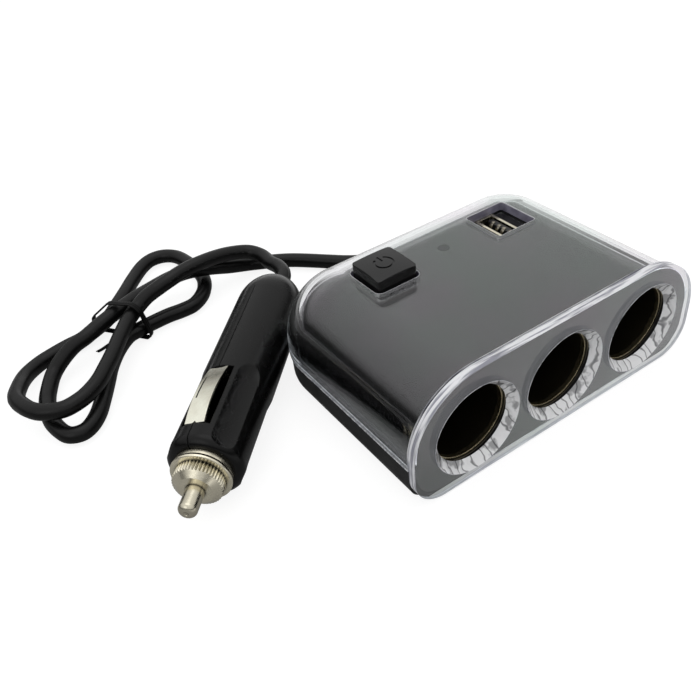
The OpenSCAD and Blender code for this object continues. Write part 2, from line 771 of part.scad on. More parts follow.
// a countersunk screw under the base
module base_screw(i) {
    p = screw_spots[i];
    color([0.6, 0.6, 0.6])
        translate([p.x, p.y, screw_well_depth])
            difference() {
                union() {
                    translate([0, 0, -screw_head_t]) cylinder(r = screw_head_r, h = screw_head_t);
                    cylinder(r = screw_shank_r, h = screw_len);
                }
                for (turn = [0, 90])
                    rotate([0, 0, turn])
                        translate([-screw_head_r / 2, -screw_slot_w / 2, -screw_head_t - overrun])
                            cube([screw_head_r, screw_slot_w, overrun + screw_head_t / 2]);
            }
}

// the ribbed sleeve where the cord leaves the housing
module strain_relief() {
    rib_pitch = (sleeve_len - sleeve_flange_t) / (sleeve_ribs + 1);
    color([0.05, 0.05, 0.05])
        translate([sleeve_x, 0, sleeve_z])
            difference() {
                union() {
                    along_y(base_rear_y - base_wall) cylinder(r = sleeve_root_r, h = base_wall + run_gap);
                    along_y(base_rear_y) cylinder(r = sleeve_flange_r, h = sleeve_flange_t);
                    along_y(base_rear_y) cylinder(r1 = sleeve_root_r, r2 = sleeve_tip_r, h = sleeve_len);
                }
                along_y(base_rear_y - base_wall - overrun)
                    cylinder(r = cord_r + cord_fit / 2, h = base_wall + sleeve_len + 2 * overrun);
                for (k = [1:sleeve_ribs])
                    along_y(base_rear_y + sleeve_flange_t + k * rib_pitch - sleeve_rib_w / 2)
                        difference() {
                            cylinder(r = sleeve_flange_r, h = sleeve_rib_w);
                            translate([0, 0, -overrun])
                                cylinder(r = sleeve_tip_r - sleeve_rib_depth, h = sleeve_rib_w + 2 * overrun);
                        }
            }
}

// the cord from the housing to the tie
module cord_supply() {
    color([0.04, 0.04, 0.045])
        tube(supply_path, cord_r, cord_sides, [[0, 1, 0], coil_lead]);
}

// the folded cord: one long loop on each side of the tie, in one unbroken tube
module cord_coil() {
    color([0.04, 0.04, 0.045])
        tube(loops_path, cord_r, cord_sides, [coil_lead, plug_end_lead]);
}

// the cord from the tie to the plug
module cord_plug_end() {
    color([0.04, 0.04, 0.045])
        tube(plug_end_path, cord_r, cord_sides, [plug_end_lead, plug_lead]);
}

echo("coil to itself", least_own_gap(loops_path, near_end));
echo("supply to coil", least_gap(backwards(supply_path), loops_path, near_end));
echo("plug end to coil", least_gap(plug_end_path, backwards(loops_path), near_end));
echo("supply to plug end", least_gap(supply_path, plug_end_path, 0));
echo("cord length", path_len(supply_path) + path_len(loops_path) + path_len(plug_end_path));

// the flat tie round the four strands, with its two tails on the ground
module tie_loop(r) {
    hull()
        for (spot = tie_spots) translate(spot) circle(r, $fn = tie_sides);
}

module twist_tie() {
    color([0.04, 0.04, 0.04])
        translate([tie_x, tie_y, 0])
            rotate([0, 0, tie_heading]) {
                rotate([90, 0, 90])
                    translate([0, 0, -tie_w / 2])
                        linear_extrude(tie_w)
                            difference() {
                                tie_loop(cord_r + cord_fit + tie_t);
                                tie_loop(cord_r + cord_fit);
                            }
                for (i = [0, 1])
                    translate([0, tie_tails[i][0], tie_low_z + i * tie_t])
                        rotate([0, 0, 180 + tie_tails[i][1]])
                            translate([0, -tie_w / 2, 0]) cube([tie_tails[i][2], tie_w, tie_t]);
            }
}

module in_plug() {
    translate([plug_x, plug_y, barrel_r]) rotate([0, 0, plug_heading]) rotate([plug_roll, 0, 0]) children();
}

// turns a profile (radius, distance along the plug) about the plug's axis
module about_plug() {
    rotate([0, 90, 0]) rotate_extrude() children();
}

module barrel_profile() {
    translate([0, barrel_rear]) edge_profile(barrel_r, 0, barrel_len, 0, shoulder_fillet);
    mirror([0, 1]) translate([0, -barrel_rear]) {
        intersection() {
            translate([barrel_r - dome_side_r, 0]) circle(dome_side_r, $fn = 4 * $fn);
            square([barrel_r, dome_side_r * dome_tip_reach / (dome_side_r - dome_tip_r)]);
        }
        intersection() {
            translate([0, dome_tip_reach]) circle(dome_tip_r);
            square([dome_tip_r, dome_len]);
        }
    }
}

// the plug's barrel before it is split into halves
module barrel() {
    difference() {
        about_plug() barrel_profile();
        about_plug() translate([0, spring_wall_front])
            square([cavity_r, barrel_front - front_wall - spring_wall_front]);
        about_plug() translate([0, cavity_rear])
            square([cavity_r, spring_wall_front - spring_wall_t - cavity_rear]);
        about_plug() translate([0, cavity_rear]) square([wire_hole_r, barrel_front - cavity_rear]);
        about_plug() translate([0, barrel_front - front_wall - overrun])
            square([nut_thread_r + run_gap, front_wall + 2 * overrun]);
        about_plug() translate([0, dome_rear - overrun])
            square([cord_r + cord_fit, cavity_rear - dome_rear + 2 * overrun]);
        difference() {
            translate([barrel_rear, -seam_w / 2, -2 * barrel_r])
                cube([barrel_len + overrun, seam_w, 4 * barrel_r]);
            about_plug() translate([0, barrel_rear])
                edge_profile(barrel_r - seam_depth, 0, barrel_len - seam_depth,
                    0, shoulder_fillet - seam_depth);
        }
        for (side = [0, 180]) rotate([side, 0, 0]) {
            translate([0, -window_w / 2, 0]) cube([window_len, window_w, 2 * barrel_r]);
            for (turn = [-flute_turn, flute_turn])
                rotate([turn, 0, 0]) translate([0, 0, barrel_r - flute_depth + flute_r]) {
                    translate([flute_rear, 0, 0]) rotate([0, 90, 0])
                        cylinder(r = flute_r, h = flute_front - flute_rear);
                    for (x = [flute_rear, flute_front]) translate([x, 0, 0]) sphere(flute_r);
                }
        }
    }
}

module plug_half_a() {
    color([0.1, 0.1, 0.1])
        in_plug()
            intersection() {
                barrel();
                translate([dome_rear - overrun, 0, -2 * barrel_r])
                    cube([barrel_len + dome_len + 2 * overrun, 2 * barrel_r, 4 * barrel_r]);
            }
}

module plug_half_b() {
    color([0.1, 0.1, 0.1])
        in_plug()
            intersection() {
                barrel();
                translate([dome_rear - overrun, -2 * barrel_r, -2 * barrel_r])
                    cube([barrel_len + dome_len + 2 * overrun, 2 * barrel_r, 4 * barrel_r]);
            }
}

// a sprung side contact: a bowed strip with a leg and a lip at each end
module side_contact(inward) {
    half = window_len / 2 - slide_gap;
    bow_r = (half * half + contact_sag * contact_sag) / (2 * contact_sag);
    crest = barrel_r + contact_crest - inward;
    end_z = crest - contact_sag;
    translate([window_len / 2, 0, 0]) {
        intersection() {
            difference() {
                translate([0, 0, crest - bow_r]) rotate([90, 0, 0])
                    cylinder(r = bow_r, h = side_contact_w, center = true, $fn = 4 * $fn);
                translate([0, 0, crest - bow_r]) rotate([90, 0, 0])
                    cylinder(r = bow_r - contact_t, h = 2 * side_contact_w, center = true, $fn = 4 * $fn);
            }
            difference() {
                translate([-half, -side_contact_w / 2, 0]) cube([2 * half, side_contact_w, 2 * barrel_r]);
                translate([contact_slot_rear - window_len / 2, -contact_slot_side - contact_slot_w / 2, 0])
                    cube([contact_slot_len, contact_slot_w, 2 * barrel_r]);
                translate([half, 0, 0]) rotate([0, 0, 45])
                    cube([contact_notch, contact_notch, 4 * barrel_r], center = true);
            }
        }
        for (side = [0, 1])
            mirror([side, 0, 0]) {
                translate([half - contact_t, -contact_leg_w / 2, contact_leg_low - inward])
                    cube([contact_t, contact_leg_w, end_z - contact_leg_low + inward - contact_t / 2]);
                translate([half - contact_t, -contact_leg_w / 2, contact_leg_low - inward])
                    cube([contact_t + contact_lip, contact_leg_w, contact_lip_t]);
            }
    }
}

module side_contact_top() {
    color([0.72, 0.72, 0.7]) in_plug() side_contact(0);
}

module side_contact_under() {
    color([0.72, 0.72, 0.7]) in_plug() rotate([180, 0, 0]) side_contact(under_pressed);
}

// the metal nut that holds the fuse in the plug's nose
module nose_nut() {
    color([0.75, 0.74, 0.7])
        in_plug()
            difference() {
                about_plug()
                    difference() {
                        union() {
                            translate([0, nut_rear - nut_thread_len])
                                square([nut_thread_r, nut_thread_len + nut_collar_len]);
                            translate([0, nut_rear]) square([nut_collar_r, nut_collar_len]);
                            translate([0, nut_neck_at]) square([nut_neck_r, nut_neck_len]);
                            translate([0, nut_flange_at])
                                edge_profile(nut_flange_r, 0, nut_flange_len, nut_edge, nut_edge);
                            polygon([[0, nut_knurl_at], [nut_r, nut_knurl_at],
                                [nut_r, nut_front - nut_taper_len], [nut_tip_r, nut_front], [0, nut_front]]);
                        }
                        translate([0, nut_rear - nut_thread_len - overrun])
                            square([nut_bore_r, nut_front - nut_lip_t - nut_rear + nut_thread_len + overrun]);
                        translate([0, nut_rear]) square([pin_r + run_gap, nut_front]);
                    }
                for (k = [0:nut_grooves - 1])
                    rotate([k * 360 / nut_grooves, 0, 0])
                        translate([nut_knurl_at, 0, nut_r]) rotate([0, 90, 0])
                            cylinder(r = nut_groove_r, h = nut_knurl_len - nut_taper_len / 2, $fn = 4);
            }
}

// the centre pin, with a rounded and dimpled tip
module centre_pin() {
    tip = nut_front + pin_proud;
    color([0.78, 0.76, 0.7])
        in_plug()
            difference() {
                about_plug() {
                    translate([0, fuse_front]) square([pin_tail_r, pin_tail_len + pin_flange_t]);
                    translate([0, pin_flange_rear]) square([pin_flange_r, pin_flange_t]);
                    translate([0, pin_flange_rear])
                        edge_profile(pin_r, 0, tip - pin_flange_rear, 0, pin_tip_r);
                }
                translate([tip + pin_dimple_r - pin_dimple_depth, 0, 0]) sphere(pin_dimple_r);
            }
}

// the fuse behind the pin
module fuse() {
    color([0.8, 0.8, 0.8])
        in_plug()
            about_plug() {
                translate([0, fuse_rear]) square([fuse_glass_r, fuse_len]);
                translate([0, fuse_rear]) square([fuse_r, fuse_cap_len]);
                translate([0, fuse_front - fuse_cap_len]) square([fuse_r, fuse_cap_len]);
            }
}

// the spring behind the fuse
module fuse_spring() {
    color([0.7, 0.7, 0.7])
        in_plug()
            translate([fuse_rear - spring_len - spring_wire_r, 0, 0])
                tube(coil_path(), spring_wire_r, wire_sides, up = [1, 0, 0]);
}

base_shell();
inner_shell();
clear_cover();
front_plate();
front_panel();
liner(-1);  // liner_left
liner(0);  // liner_mid
liner(1);  // liner_right
can(-1);  // can_left
can(0);  // can_mid
can(1);  // can_right
disc(-1);  // disc_left
disc(0);  // disc_mid
disc(1);  // disc_right
contact(-1);  // contact_left
contact(0);  // contact_mid
contact(1);  // contact_right
circuit_board();
switch_body();
power_button();
lamp_pipe();
lamp_diode();
usb_shell();
usb_tongue();
base_screw(0);  // screw_front_left
base_screw(1);  // screw_front_right
base_screw(2);  // screw_rear_left
base_screw(3);  // screw_rear_right
strain_relief();
cord_supply();
cord_coil();
cord_plug_end();
twist_tie();
plug_half_a();
plug_half_b();
side_contact_top();
side_contact_under();
nose_nut();
centre_pin();
fuse();
fuse_spring();
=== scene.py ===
"""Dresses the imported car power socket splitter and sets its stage, camera and light."""

import math
import bpy
from bpy.props import FloatProperty, FloatVectorProperty, PointerProperty
from mathutils import Matrix, Vector


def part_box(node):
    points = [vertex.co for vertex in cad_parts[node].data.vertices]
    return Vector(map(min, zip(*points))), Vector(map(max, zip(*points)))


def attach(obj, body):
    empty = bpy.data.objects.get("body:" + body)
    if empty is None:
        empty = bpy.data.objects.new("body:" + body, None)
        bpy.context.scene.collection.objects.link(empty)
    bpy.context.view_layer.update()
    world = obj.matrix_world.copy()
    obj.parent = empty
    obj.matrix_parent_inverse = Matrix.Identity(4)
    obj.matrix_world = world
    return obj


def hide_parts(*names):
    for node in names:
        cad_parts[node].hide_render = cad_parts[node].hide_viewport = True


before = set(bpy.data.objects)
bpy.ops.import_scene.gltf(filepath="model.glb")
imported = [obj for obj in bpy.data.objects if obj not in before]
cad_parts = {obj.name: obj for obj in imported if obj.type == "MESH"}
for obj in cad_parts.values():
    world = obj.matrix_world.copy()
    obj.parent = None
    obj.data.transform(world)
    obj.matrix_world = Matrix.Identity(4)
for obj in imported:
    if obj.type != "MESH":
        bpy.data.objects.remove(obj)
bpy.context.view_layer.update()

bl_info = {
    "name": "Socket splitter dressing",
    "version": (1, 0, 0),
    "blender": (4, 5, 0),
    "location": "View3D > Sidebar > Splitter",
    "description": "Finishes, cord and small parts for a clear-covered car socket splitter",
    "category": "Object",
}

MM = 0.001

# The cord's way from the housing to the plug, in millimetres. It is the way in the part's source,
# but for a closer bend behind the housing.
REST = 2.5
SUPPLY_ROUTE = [
    (22, 46.6, 6), (22, 50.5, 5.7), (20.6, 54.2, 5), (17.2, 56.8, 4), (12.6, 57.6, 3),
    (8, 57.6, REST), (3.6, 59, REST), (-0.2, 62, REST), (-4, 66, REST), (-9, 71.5, REST),
    (-14, 76.5, REST), (-19.5, 80.5, REST), (-25.5, 84, 2.6), (-33, 84.5, 4.6), (-40, 84, 7.4),
    (-45.5, 85.5, 8), (-49.5, 87, 7.7), (-54.5, 88, 7), (-61, 86.5, 7.1), (-66.5, 84, 7.9),
    (-71.5, 81.5, 8.4),
]
COIL_ROUTE = [
    (-76, 79.5, 8.5), (-81.5, 77, 8.4), (-86.5, 74.5, 8.2), (-91, 74, 7.2), (-95.5, 73, 5.2),
    (-99.5, 71, 3.2), (-102.5, 66.5, REST), (-105, 60.5, REST), (-106.5, 53, REST),
    (-106, 47, REST), (-104.5, 43, REST), (-101.5, 41.5, REST), (-98.5, 42.5, REST),
    (-95, 46, REST), (-91.5, 51.5, REST), (-88, 57.5, REST), (-84.5, 63.5, 2.6), (-80, 69, 2.9),
    (-75, 73, 3.1), (-70.5, 74, 3.1), (-66, 75, 2.7), (-60.5, 75.5, REST), (-55.5, 75, REST),
    (-51, 75.5, REST), (-46, 79.5, REST), (-42.5, 86, REST), (-41.5, 93.5, REST),
    (-42, 101, REST), (-43.5, 107, REST), (-47, 110.5, REST), (-51.5, 111, REST),
    (-56, 108.5, REST), (-61.5, 103, 2.6), (-66.5, 97, 3), (-71.5, 91.5, 3.2),
    (-76.5, 86.5, 3.2), (-82, 84, 2.8), (-87, 82.5, REST), (-91.5, 82, REST), (-96.5, 81, REST),
    (-101.5, 79.5, REST), (-106.5, 75, 3.6), (-110, 68, 5.6), (-112, 61, 7.4), (-111, 55, 8),
    (-109, 51, 8.1), (-106, 48.5, 8.1), (-102.5, 47, 8.1), (-98.5, 47.5, 8.1), (-95, 49, 8.1),
    (-91, 52, 8.1), (-87, 56.5, 8.1), (-83.5, 60.5, 8.3), (-80, 65, 8.5),
]
PLUG_ROUTE = [
    (-76.5, 69.5, 8.5), (-73, 73.5, 8.7), (-69, 76, 9.6), (-65, 77, 11.2), (-60.5, 77, 12.6),
    (-56, 77.5, 13.4), (-50.5, 79, 13.5), (-44.5, 80, 13.2), (-38, 81.5, 12), (-32, 82.5, 10.4),
    (-26.5, 81.5, 9), (-24, 77.5, 8.4), (-24, 71, 8.6), (-23.8, 65.5, 9.4), (-25.5, 59.6, 9.85),
    (-31.5, 53.4, 9.85),
]
ROUTE_STEPS = 6

# The tie, in millimetres: its place on the ground, its way through the strands in degrees, and
# each strand's side and height there
TIE_PLACE = (-74.5, 79.5, 0)
TIE_HEADING = 34.8
TIE_STRANDS = [(0.9, 8.55), (-5.85, 9.35), (-7.35, 3.05), (7.45, 3.05)]
# Its loop: how far it runs outside the strands' middles, how much it stands off them and which
# way, how low it lies, and the sizes of its band and of the wire inside
TIE_REACH = 2.95
TIE_SLACK = [(0.5, (0.5, 0.87)), (0.4, (-0.9, -0.4))]
TIE_LOWEST = 0.33
TIE_BAND_W = 1.9
TIE_BAND_T = 0.4
TIE_WIRE_R = 0.32
TIE_STEPS = 72
# Its twist, which starts beside the loop and lies along the ground
TWIST_START = (-0.8, 0.4, 0.95)
TWIST_LEN = 5
TWIST_TURNS = 2.5
TWIST_R = 0.42
TWIST_WIRE_R = 0.4
TWIST_STEPS = 40
# Its two loose ends: along the heading, to the side, and up
TIE_ENDS = [
    [(-5.4, 0.4, 1.0), (-7, 0.9, 1.0), (-9, 1.9, 0.7), (-10.6, 3, 0.45)],
    [(-5.4, 0.4, 1.0), (-6.6, -0.4, 1.3), (-8, -1.4, 1.2), (-9.2, -2.2, 0.8)],
]
TIE_END_STEPS = 5
TIE_END_W = 1.4
TIE_END_T = 0.3
TIE_END_WIRE_R = 0.34

# The linings that carry painted light on the clear plastic's cut edges, in metres: the funnels'
# least radius, how much wider they open, and their distance from the plate
FUNNEL_ROOT = 10.8 * MM
FUNNEL_SPREAD = 2.1 * MM
FUNNEL_GAP = 0.12 * MM
FUNNEL_T = 0.06 * MM
# The cover's two openings: width, depth and corner radius, and how far the linings stand inside
PORT_OPENING = (14 * MM, 13.9 * MM, 1 * MM)
BUTTON_OPENING = (14.2 * MM, 14 * MM, 2 * MM)
OPENING_GAP = 0.05 * MM
OPENING_T = 0.08 * MM
BUTTON_OPENING_H = 2.4 * MM
PANEL_LINE_R = 0.14 * MM

# The port's strips seen from the side, in millimetres: how far they lie in from the left side of
# the tongue or the shell, how far above its top, and their places across it
CONTACT_PROFILE = [
    (-0.13, -6), (-0.14, -4), (-0.25, -2.8), (-0.45, -1.8), (-0.5, -1.2), (-0.35, -0.7),
    (-0.05, -0.35), (0.35, 0.16), (0.9, 0.18),
]
CONTACT_SIDES = (-3.5, -1, 1, 3.5)
SPRING_PROFILE = [
    (0.9, -0.3), (1.05, -0.9), (1.35, -1.8), (1.65, -2.6), (1.7, -3.2), (1.5, -3.8),
]
SPRING_SIDES = (-3, 3)

PLASTIC_IOR = 1.49

# The camera: its place in metres, its angles in degrees, its lens and sensor in millimetres
CAMERA_PLACE = (-0.11585, -0.13035, 0.14579)
CAMERA_TURN = 30.392
CAMERA_DIP = 38.953
CAMERA_ROLL = -6.789
CAMERA_LENS = 40.19
CAMERA_SENSOR = 36
CAMERA_CLIP = 5 * MM

# The floor and the lamps: each lamp's place, its size across and its share of the top lamp's power
FLOOR_SIZE = 6
FLOOR_DROP = 0.2 * MM
LAMP_TARGET = (0, 0.04, 0)
LAMPS = {
    "top_lamp": ((0.1, 0.15, 0.9), 0.8, 1.0),
    "side_lamp": ((-0.8, -0.35, 0.6), 0.6, 0.5),
}
# The ways in which the floor and the surroundings grow brighter in glosses, and the surroundings'
# levels by height
FLOOR_AHEAD = (0.5, -0.86, 0)
FLOOR_BEYOND = (0.8, 0.6, 0)
SKY_BEYOND = (0.55, 0.83, 0)
DIM_HEIGHT = 0.14
SKY_LEVELS = [(0.22, 0.4), (0.4, 0.74), (0.6, 0.84), (0.85, 1.0)]


# Sizes and colours


class CordSizes(bpy.types.PropertyGroup):
    diameter: FloatProperty(
        name="Diameter", description="Diameter of the round cord", default=4.8 * MM, unit="LENGTH"
    )
    length: FloatProperty(
        name="Length", description="Length of the cord from sleeve to plug", default=0.5147,
        unit="LENGTH",
    )


class StageSettings(bpy.types.PropertyGroup):
    backdrop: FloatVectorProperty(
        name="Backdrop", description="Colour seen behind the object", subtype="COLOR",
        default=(1.0, 1.0, 1.0), min=0, max=1,
    )
    fill: FloatProperty(
        name="Fill", description="Strength of the light from all round", default=0.8, min=0
    )
    dim: FloatProperty(
        name="Dim level", description="Brightness of the surroundings near the ground in glosses",
        default=0.06, min=0,
    )
    floor_dim: FloatProperty(
        name="Dim floor", description="Brightness of the floor behind the object in glosses",
        default=0.1, min=0,
    )
    floor_bright: FloatProperty(
        name="Bright floor", description="Brightness of the floor before the object in glosses",
        default=0.55, min=0,
    )
    beyond: FloatProperty(
        name="Far level", description="Brightness far behind the object in glosses", default=0.72,
        min=0,
    )
    floor_glow: FloatProperty(
        name="Floor glow", description="Part of the floor's white that is seen without light",
        default=0.86, min=0,
    )
    top_power: FloatProperty(
        name="Top lamp", description="Power of the soft lamp overhead", default=1.1, unit="POWER"
    )


class FinishColours(bpy.types.PropertyGroup):
    clear: FloatVectorProperty(
        name="Clear plastic", description="Tint of the cover and front plate", subtype="COLOR",
        default=(0.95, 0.965, 0.96), min=0, max=1,
    )
    gloss_black: FloatVectorProperty(
        name="Gloss black", description="Inner housing and panel", subtype="COLOR",
        default=(0.012, 0.012, 0.013), min=0, max=1,
    )
    satin_black: FloatVectorProperty(
        name="Satin black", description="Base, plug, button and other dull black plastic",
        subtype="COLOR", default=(0.007, 0.007, 0.007), min=0, max=1,
    )
    sheath: FloatVectorProperty(
        name="Cord black", description="Cord and tie", subtype="COLOR",
        default=(0.0025, 0.0025, 0.0025), min=0, max=1,
    )
    nickel: FloatVectorProperty(
        name="Nickel", description="Plated nut, pin, springs, port shell and screws",
        subtype="COLOR", default=(0.8, 0.75, 0.6), min=0, max=1,
    )
    brass: FloatVectorProperty(
        name="Pale brass", description="Sockets and their contacts", subtype="COLOR",
        default=(0.78, 0.66, 0.42), min=0, max=1,
    )


# Finishes


class Wiring:
    """Adds nodes to a tree. A value is another node's output, a plain number or a colour."""

    def __init__(self, tree):
        self.tree = tree

    def add(self, kind, **choices):
        """A new node with its own choices set."""
        node = self.tree.nodes.new("ShaderNode" + kind)
        for name, choice in choices.items():
            setattr(node, name, choice)
        return node

    def give(self, socket, value):
        """Links an output to the socket, or sets the socket to a plain value."""
        if isinstance(value, bpy.types.NodeSocket):
            self.tree.links.new(value, socket)
        else:
            socket.default_value = value

    def calculated(self, kind, *values):
        """One number out of several values."""
        node = self.add("Math", operation=kind)
        for socket, value in zip(node.inputs, values):
            self.give(socket, value)
        return node.outputs[0]

    def ranged(self, value, low, high, start=0.3, end=0.7, interpolation="LINEAR"):
        """A number that goes from low to high as the value goes from start to end."""
        node = self.add("MapRange", interpolation_type=interpolation)
        self.give(node.inputs["Value"], value)
        self.give(node.inputs["From Min"], start)
        self.give(node.inputs["From Max"], end)
        self.give(node.inputs["To Min"], low)
        self.give(node.inputs["To Max"], high)
        return node.outputs["Result"]

    def part_of(self, vector, axis):
        """The vector's X, Y or Z."""
        node = self.add("SeparateXYZ")
        self.give(node.inputs["Vector"], vector)
        return node.outputs[axis]

    def reach(self, vector, way):
        """How far the vector reaches along a way."""
        node = self.add("VectorMath", operation="DOT_PRODUCT")
        self.give(node.inputs[0], vector)
        self.give(node.inputs[1], way)
        return node.outputs["Value"]

    def between(self, value, first, second):
        """A number between two, by a value from 0 to 1."""
        node = self.add("Mix")
        self.give(node.inputs["A"], first)
        self.give(node.inputs["B"], second)
        self.give(node.inputs["Factor"], value)
        return node.outputs["Result"]

    def mixed(self, value, dark, light):
        """A colour between two, by a value from 0 to 1."""
        node = self.add("Mix", data_type="RGBA")
        for socket, colour in (("A", dark), ("B", light)):
            linked = isinstance(colour, bpy.types.NodeSocket)
            self.give(node.inputs[socket], colour if linked else (*colour, 1))
        self.give(node.inputs["Factor"], value)
        return node.outputs["Result"]

    def rays(self, *kinds):
        """1 for rays of the named kinds, 0 for others."""
        path = self.add("LightPath")
        found = path.outputs[kinds[0]]
        for kind in kinds[1:]:
            found = self.calculated("MAXIMUM", found, path.outputs[kind])
        return found

    def seen(self):
        """1 for rays that show a surface: from the camera, a gloss or through clear plastic."""
        return self.rays("Is Camera Ray", "Is Glossy Ray", "Is Transmission Ray")


class Finish(Wiring):
    """A material under construction: its shader, and its surface's place and outward way."""

    def __init__(self, name):
        self.material = bpy.data.materials.new(name)
        self.material.use_nodes = True
        super().__init__(self.material.node_tree)
        self.shader = self.tree.nodes["Principled BSDF"]
        spot = self.add("TexCoord")
        self.place = spot.outputs["Object"]
        self.outward = spot.outputs["Normal"]

    def fixed(self, **values):
        """Sets the shader's own sockets, named with _ for each space."""
        for socket, value in values.items():
            self.shader.inputs[socket.replace("_", " ")].default_value = value

    def into(self, socket, value):
        """Links a value to one of the shader's sockets."""
        self.tree.links.new(value, self.shader.inputs[socket])

    def stretched(self, factors):
        """The surface's place, scaled by a factor on each axis."""
        node = self.add("Mapping")
        node.inputs["Scale"].default_value = factors
        self.give(node.inputs["Vector"], self.place)
        return node.outputs["Vector"]

    def blotches(self, size, detail=4.0, place=None):
        """Soft uneven spots of about this size."""
        node = self.add("TexNoise")
        node.inputs["Scale"].default_value = 1 / size
        node.inputs["Detail"].default_value = detail
        self.give(node.inputs["Vector"], place or self.place)
        return node.outputs["Fac"]

    def swirls(self, spacing, distortion):
        """Curved, uneven bands."""
        node = self.add("TexWave")
        node.inputs["Scale"].default_value = 0.314 / spacing
        node.inputs["Distortion"].default_value = distortion
        node.inputs["Detail"].default_value = 2.0
        node.inputs["Detail Scale"].default_value = 1.2
        self.give(node.inputs["Vector"], self.place)
        return node.outputs["Fac"]

    def colour_between(self, value, dark, light):
        self.into("Base Color", self.mixed(value, dark, light))

    def rough_between(self, value, low, high):
        self.into("Roughness", self.ranged(value, low, high))

    def relief(self, value, depth, before=None):
        """Raises the surface by the value, on top of an earlier change to its outward way."""
        node = self.add("Bump")
        node.inputs["Strength"].default_value = 1.0
        node.inputs["Distance"].default_value = depth
        self.give(node.inputs["Height"], value)
        if before:
            self.give(node.inputs["Normal"], before)
        self.into("Normal", node.outputs["Normal"])

    def rounded(self, radius):
        """The outward way with edges rounded by this radius."""
        node = self.add("Bevel", samples=6)
        node.inputs["Radius"].default_value = radius
        return node.outputs["Normal"]


def shade(colour, factor):
    return tuple(min(1.0, part * factor) for part in colour)


def clear_plastic(name, tint, edges):
    """Polished clear plastic, faintly tinted in patches, with painted light on its cut edges:
    milk-white and glowing.
    """
    made = Finish(name)
    # The emission is a painted glow of the cut edges; nothing here is a lamp.
    made.fixed(IOR=PLASTIC_IOR, Emission_Color=(0.9, 0.94, 1.0, 1))
    red, green, blue = tint
    greenish = (red - 0.05, green + 0.01, blue - 0.02)
    reddish = (red + 0.01, green - 0.045, blue + 0.01)
    patches = made.ranged(made.blotches(22 * MM, 2.0), 0, 1)
    streaks = made.blotches(0.7 * MM, 3.0, made.stretched((0.07, 1, 0.07)))
    # The cut edges' milk-white colour is partly their frosting and partly painted light, for the
    # light that the clear plastic carries to its edges.
    milky_with_painted_light = made.mixed(
        made.ranged(streaks, 0, 1, 0.4, 0.56), (0.3, 0.3, 0.35), (0.96, 0.96, 0.98)
    )
    edge = edges(made)
    made.colour_between(edge, made.mixed(patches, greenish, reddish), milky_with_painted_light)
    made.into("Transmission Weight", made.ranged(edge, 1.0, 0.3, 0, 1))
    # Painted glow: the cut edges, seen from within the plastic, glow so that they are not left
    # dark behind the glass.
    inside = made.calculated("MULTIPLY", edge, made.add("NewGeometry").outputs["Backfacing"])
    made.into("Emission Strength", made.ranged(inside, 0, 0.22, 0, 1))
    marks = made.ranged(made.blotches(12 * MM, 2.0, made.stretched((1, 0.3, 1))), 0.0, 0.012)
    sawn = made.calculated("MULTIPLY", edge, 0.2)
    made.into("Roughness", made.calculated("MAXIMUM", marks, sawn))
    return made.material


def plate_edges(made):
    """1 on the plate's rim and in its funnels, 0 on its two faces."""
    across = made.calculated("ABSOLUTE", made.part_of(made.outward, "Y"))
    return made.ranged(across, 1, 0, 0.74, 0.84)


def cover_edges(made):
    """1 on the cover's lower and front rims."""
    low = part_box("clear_cover")[0]
    height = made.part_of(made.place, "Z")
    lower = made.ranged(height, 1, 0, low.z + 0.4 * MM, low.z + 0.7 * MM)
    depth = made.part_of(made.place, "Y")
    front = made.ranged(depth, 1, 0, low.y + 0.1 * MM, low.y + 0.2 * MM)
    return made.calculated("MAXIMUM", lower, front)


def faceted_plastic(name):
    """The funnels in the clear plate, in painted light: white, crossed by dark curved painted
    reflections, and glowing on the faces turned to the rear.
    """
    made = Finish(name)
    made.fixed(Transmission_Weight=0.1, IOR=PLASTIC_IOR, Roughness=0.08, Emission_Strength=1.0)
    # Painted reflections: white light crossed by dark curved lines, as the faceted walls would
    # reflect them.
    lines = made.swirls(2.4 * MM, 11.0)
    thin = made.ranged(lines, 0.25, 1, 0.0, 0.14)
    broad = made.ranged(made.blotches(5 * MM, 3.0), 0.4, 1, 0.4, 0.46)
    lit = made.calculated("MULTIPLY", thin, broad)
    painted_reflections = made.mixed(lit, (0.03, 0.032, 0.04), (0.98, 0.98, 0.99))
    # The faces turned to the rear are grey with a painted glow, since the clear plate would leave
    # them dark.
    behind = made.ranged(made.part_of(made.outward, "Y"), 0, 1, -0.1, 0.1)
    made.colour_between(behind, painted_reflections, (0.3, 0.31, 0.35))
    made.into("Emission Color", made.mixed(behind, (0, 0, 0), (0.17, 0.175, 0.19)))
    made.relief(lines, 0.15 * MM)
    return made.material


def lit_line(name):
    """A painted highlight: a glowing line where the clear plate's inner edge gathers the light."""
    made = Finish(name)
    made.fixed(Roughness=0.2, IOR=PLASTIC_IOR, Emission_Strength=1.0)
    level = made.ranged(made.blotches(4 * MM, 3.0), 0, 1, 0.35, 0.6)
    made.colour_between(level, (0.4, 0.4, 0.44), (0.8, 0.8, 0.82))
    made.into("Emission Color", made.mixed(level, (0.25, 0.25, 0.28), (0.6, 0.61, 0.64)))
    return made.material


def window_plastic(name, rim_z):
    """The openings' walls in the clear cover: smoky below, with a painted white highlight along
    their upper rim.
    """
    made = Finish(name)
    made.fixed(IOR=PLASTIC_IOR, Transmission_Weight=0.2, Roughness=0.1)
    patches = made.ranged(made.blotches(4 * MM, 2.0), 0, 1)
    smoky = made.mixed(patches, (0.14, 0.13, 0.18), (0.33, 0.32, 0.4))
    height = made.part_of(made.place, "Z")
    # Painted highlight: the upper rim is white as though it caught the light.
    rim = made.ranged(height, 0, 1, rim_z - 0.32 * MM, rim_z - 0.22 * MM)
    made.colour_between(rim, smoky, (0.92, 0.92, 0.96))
    return made.material


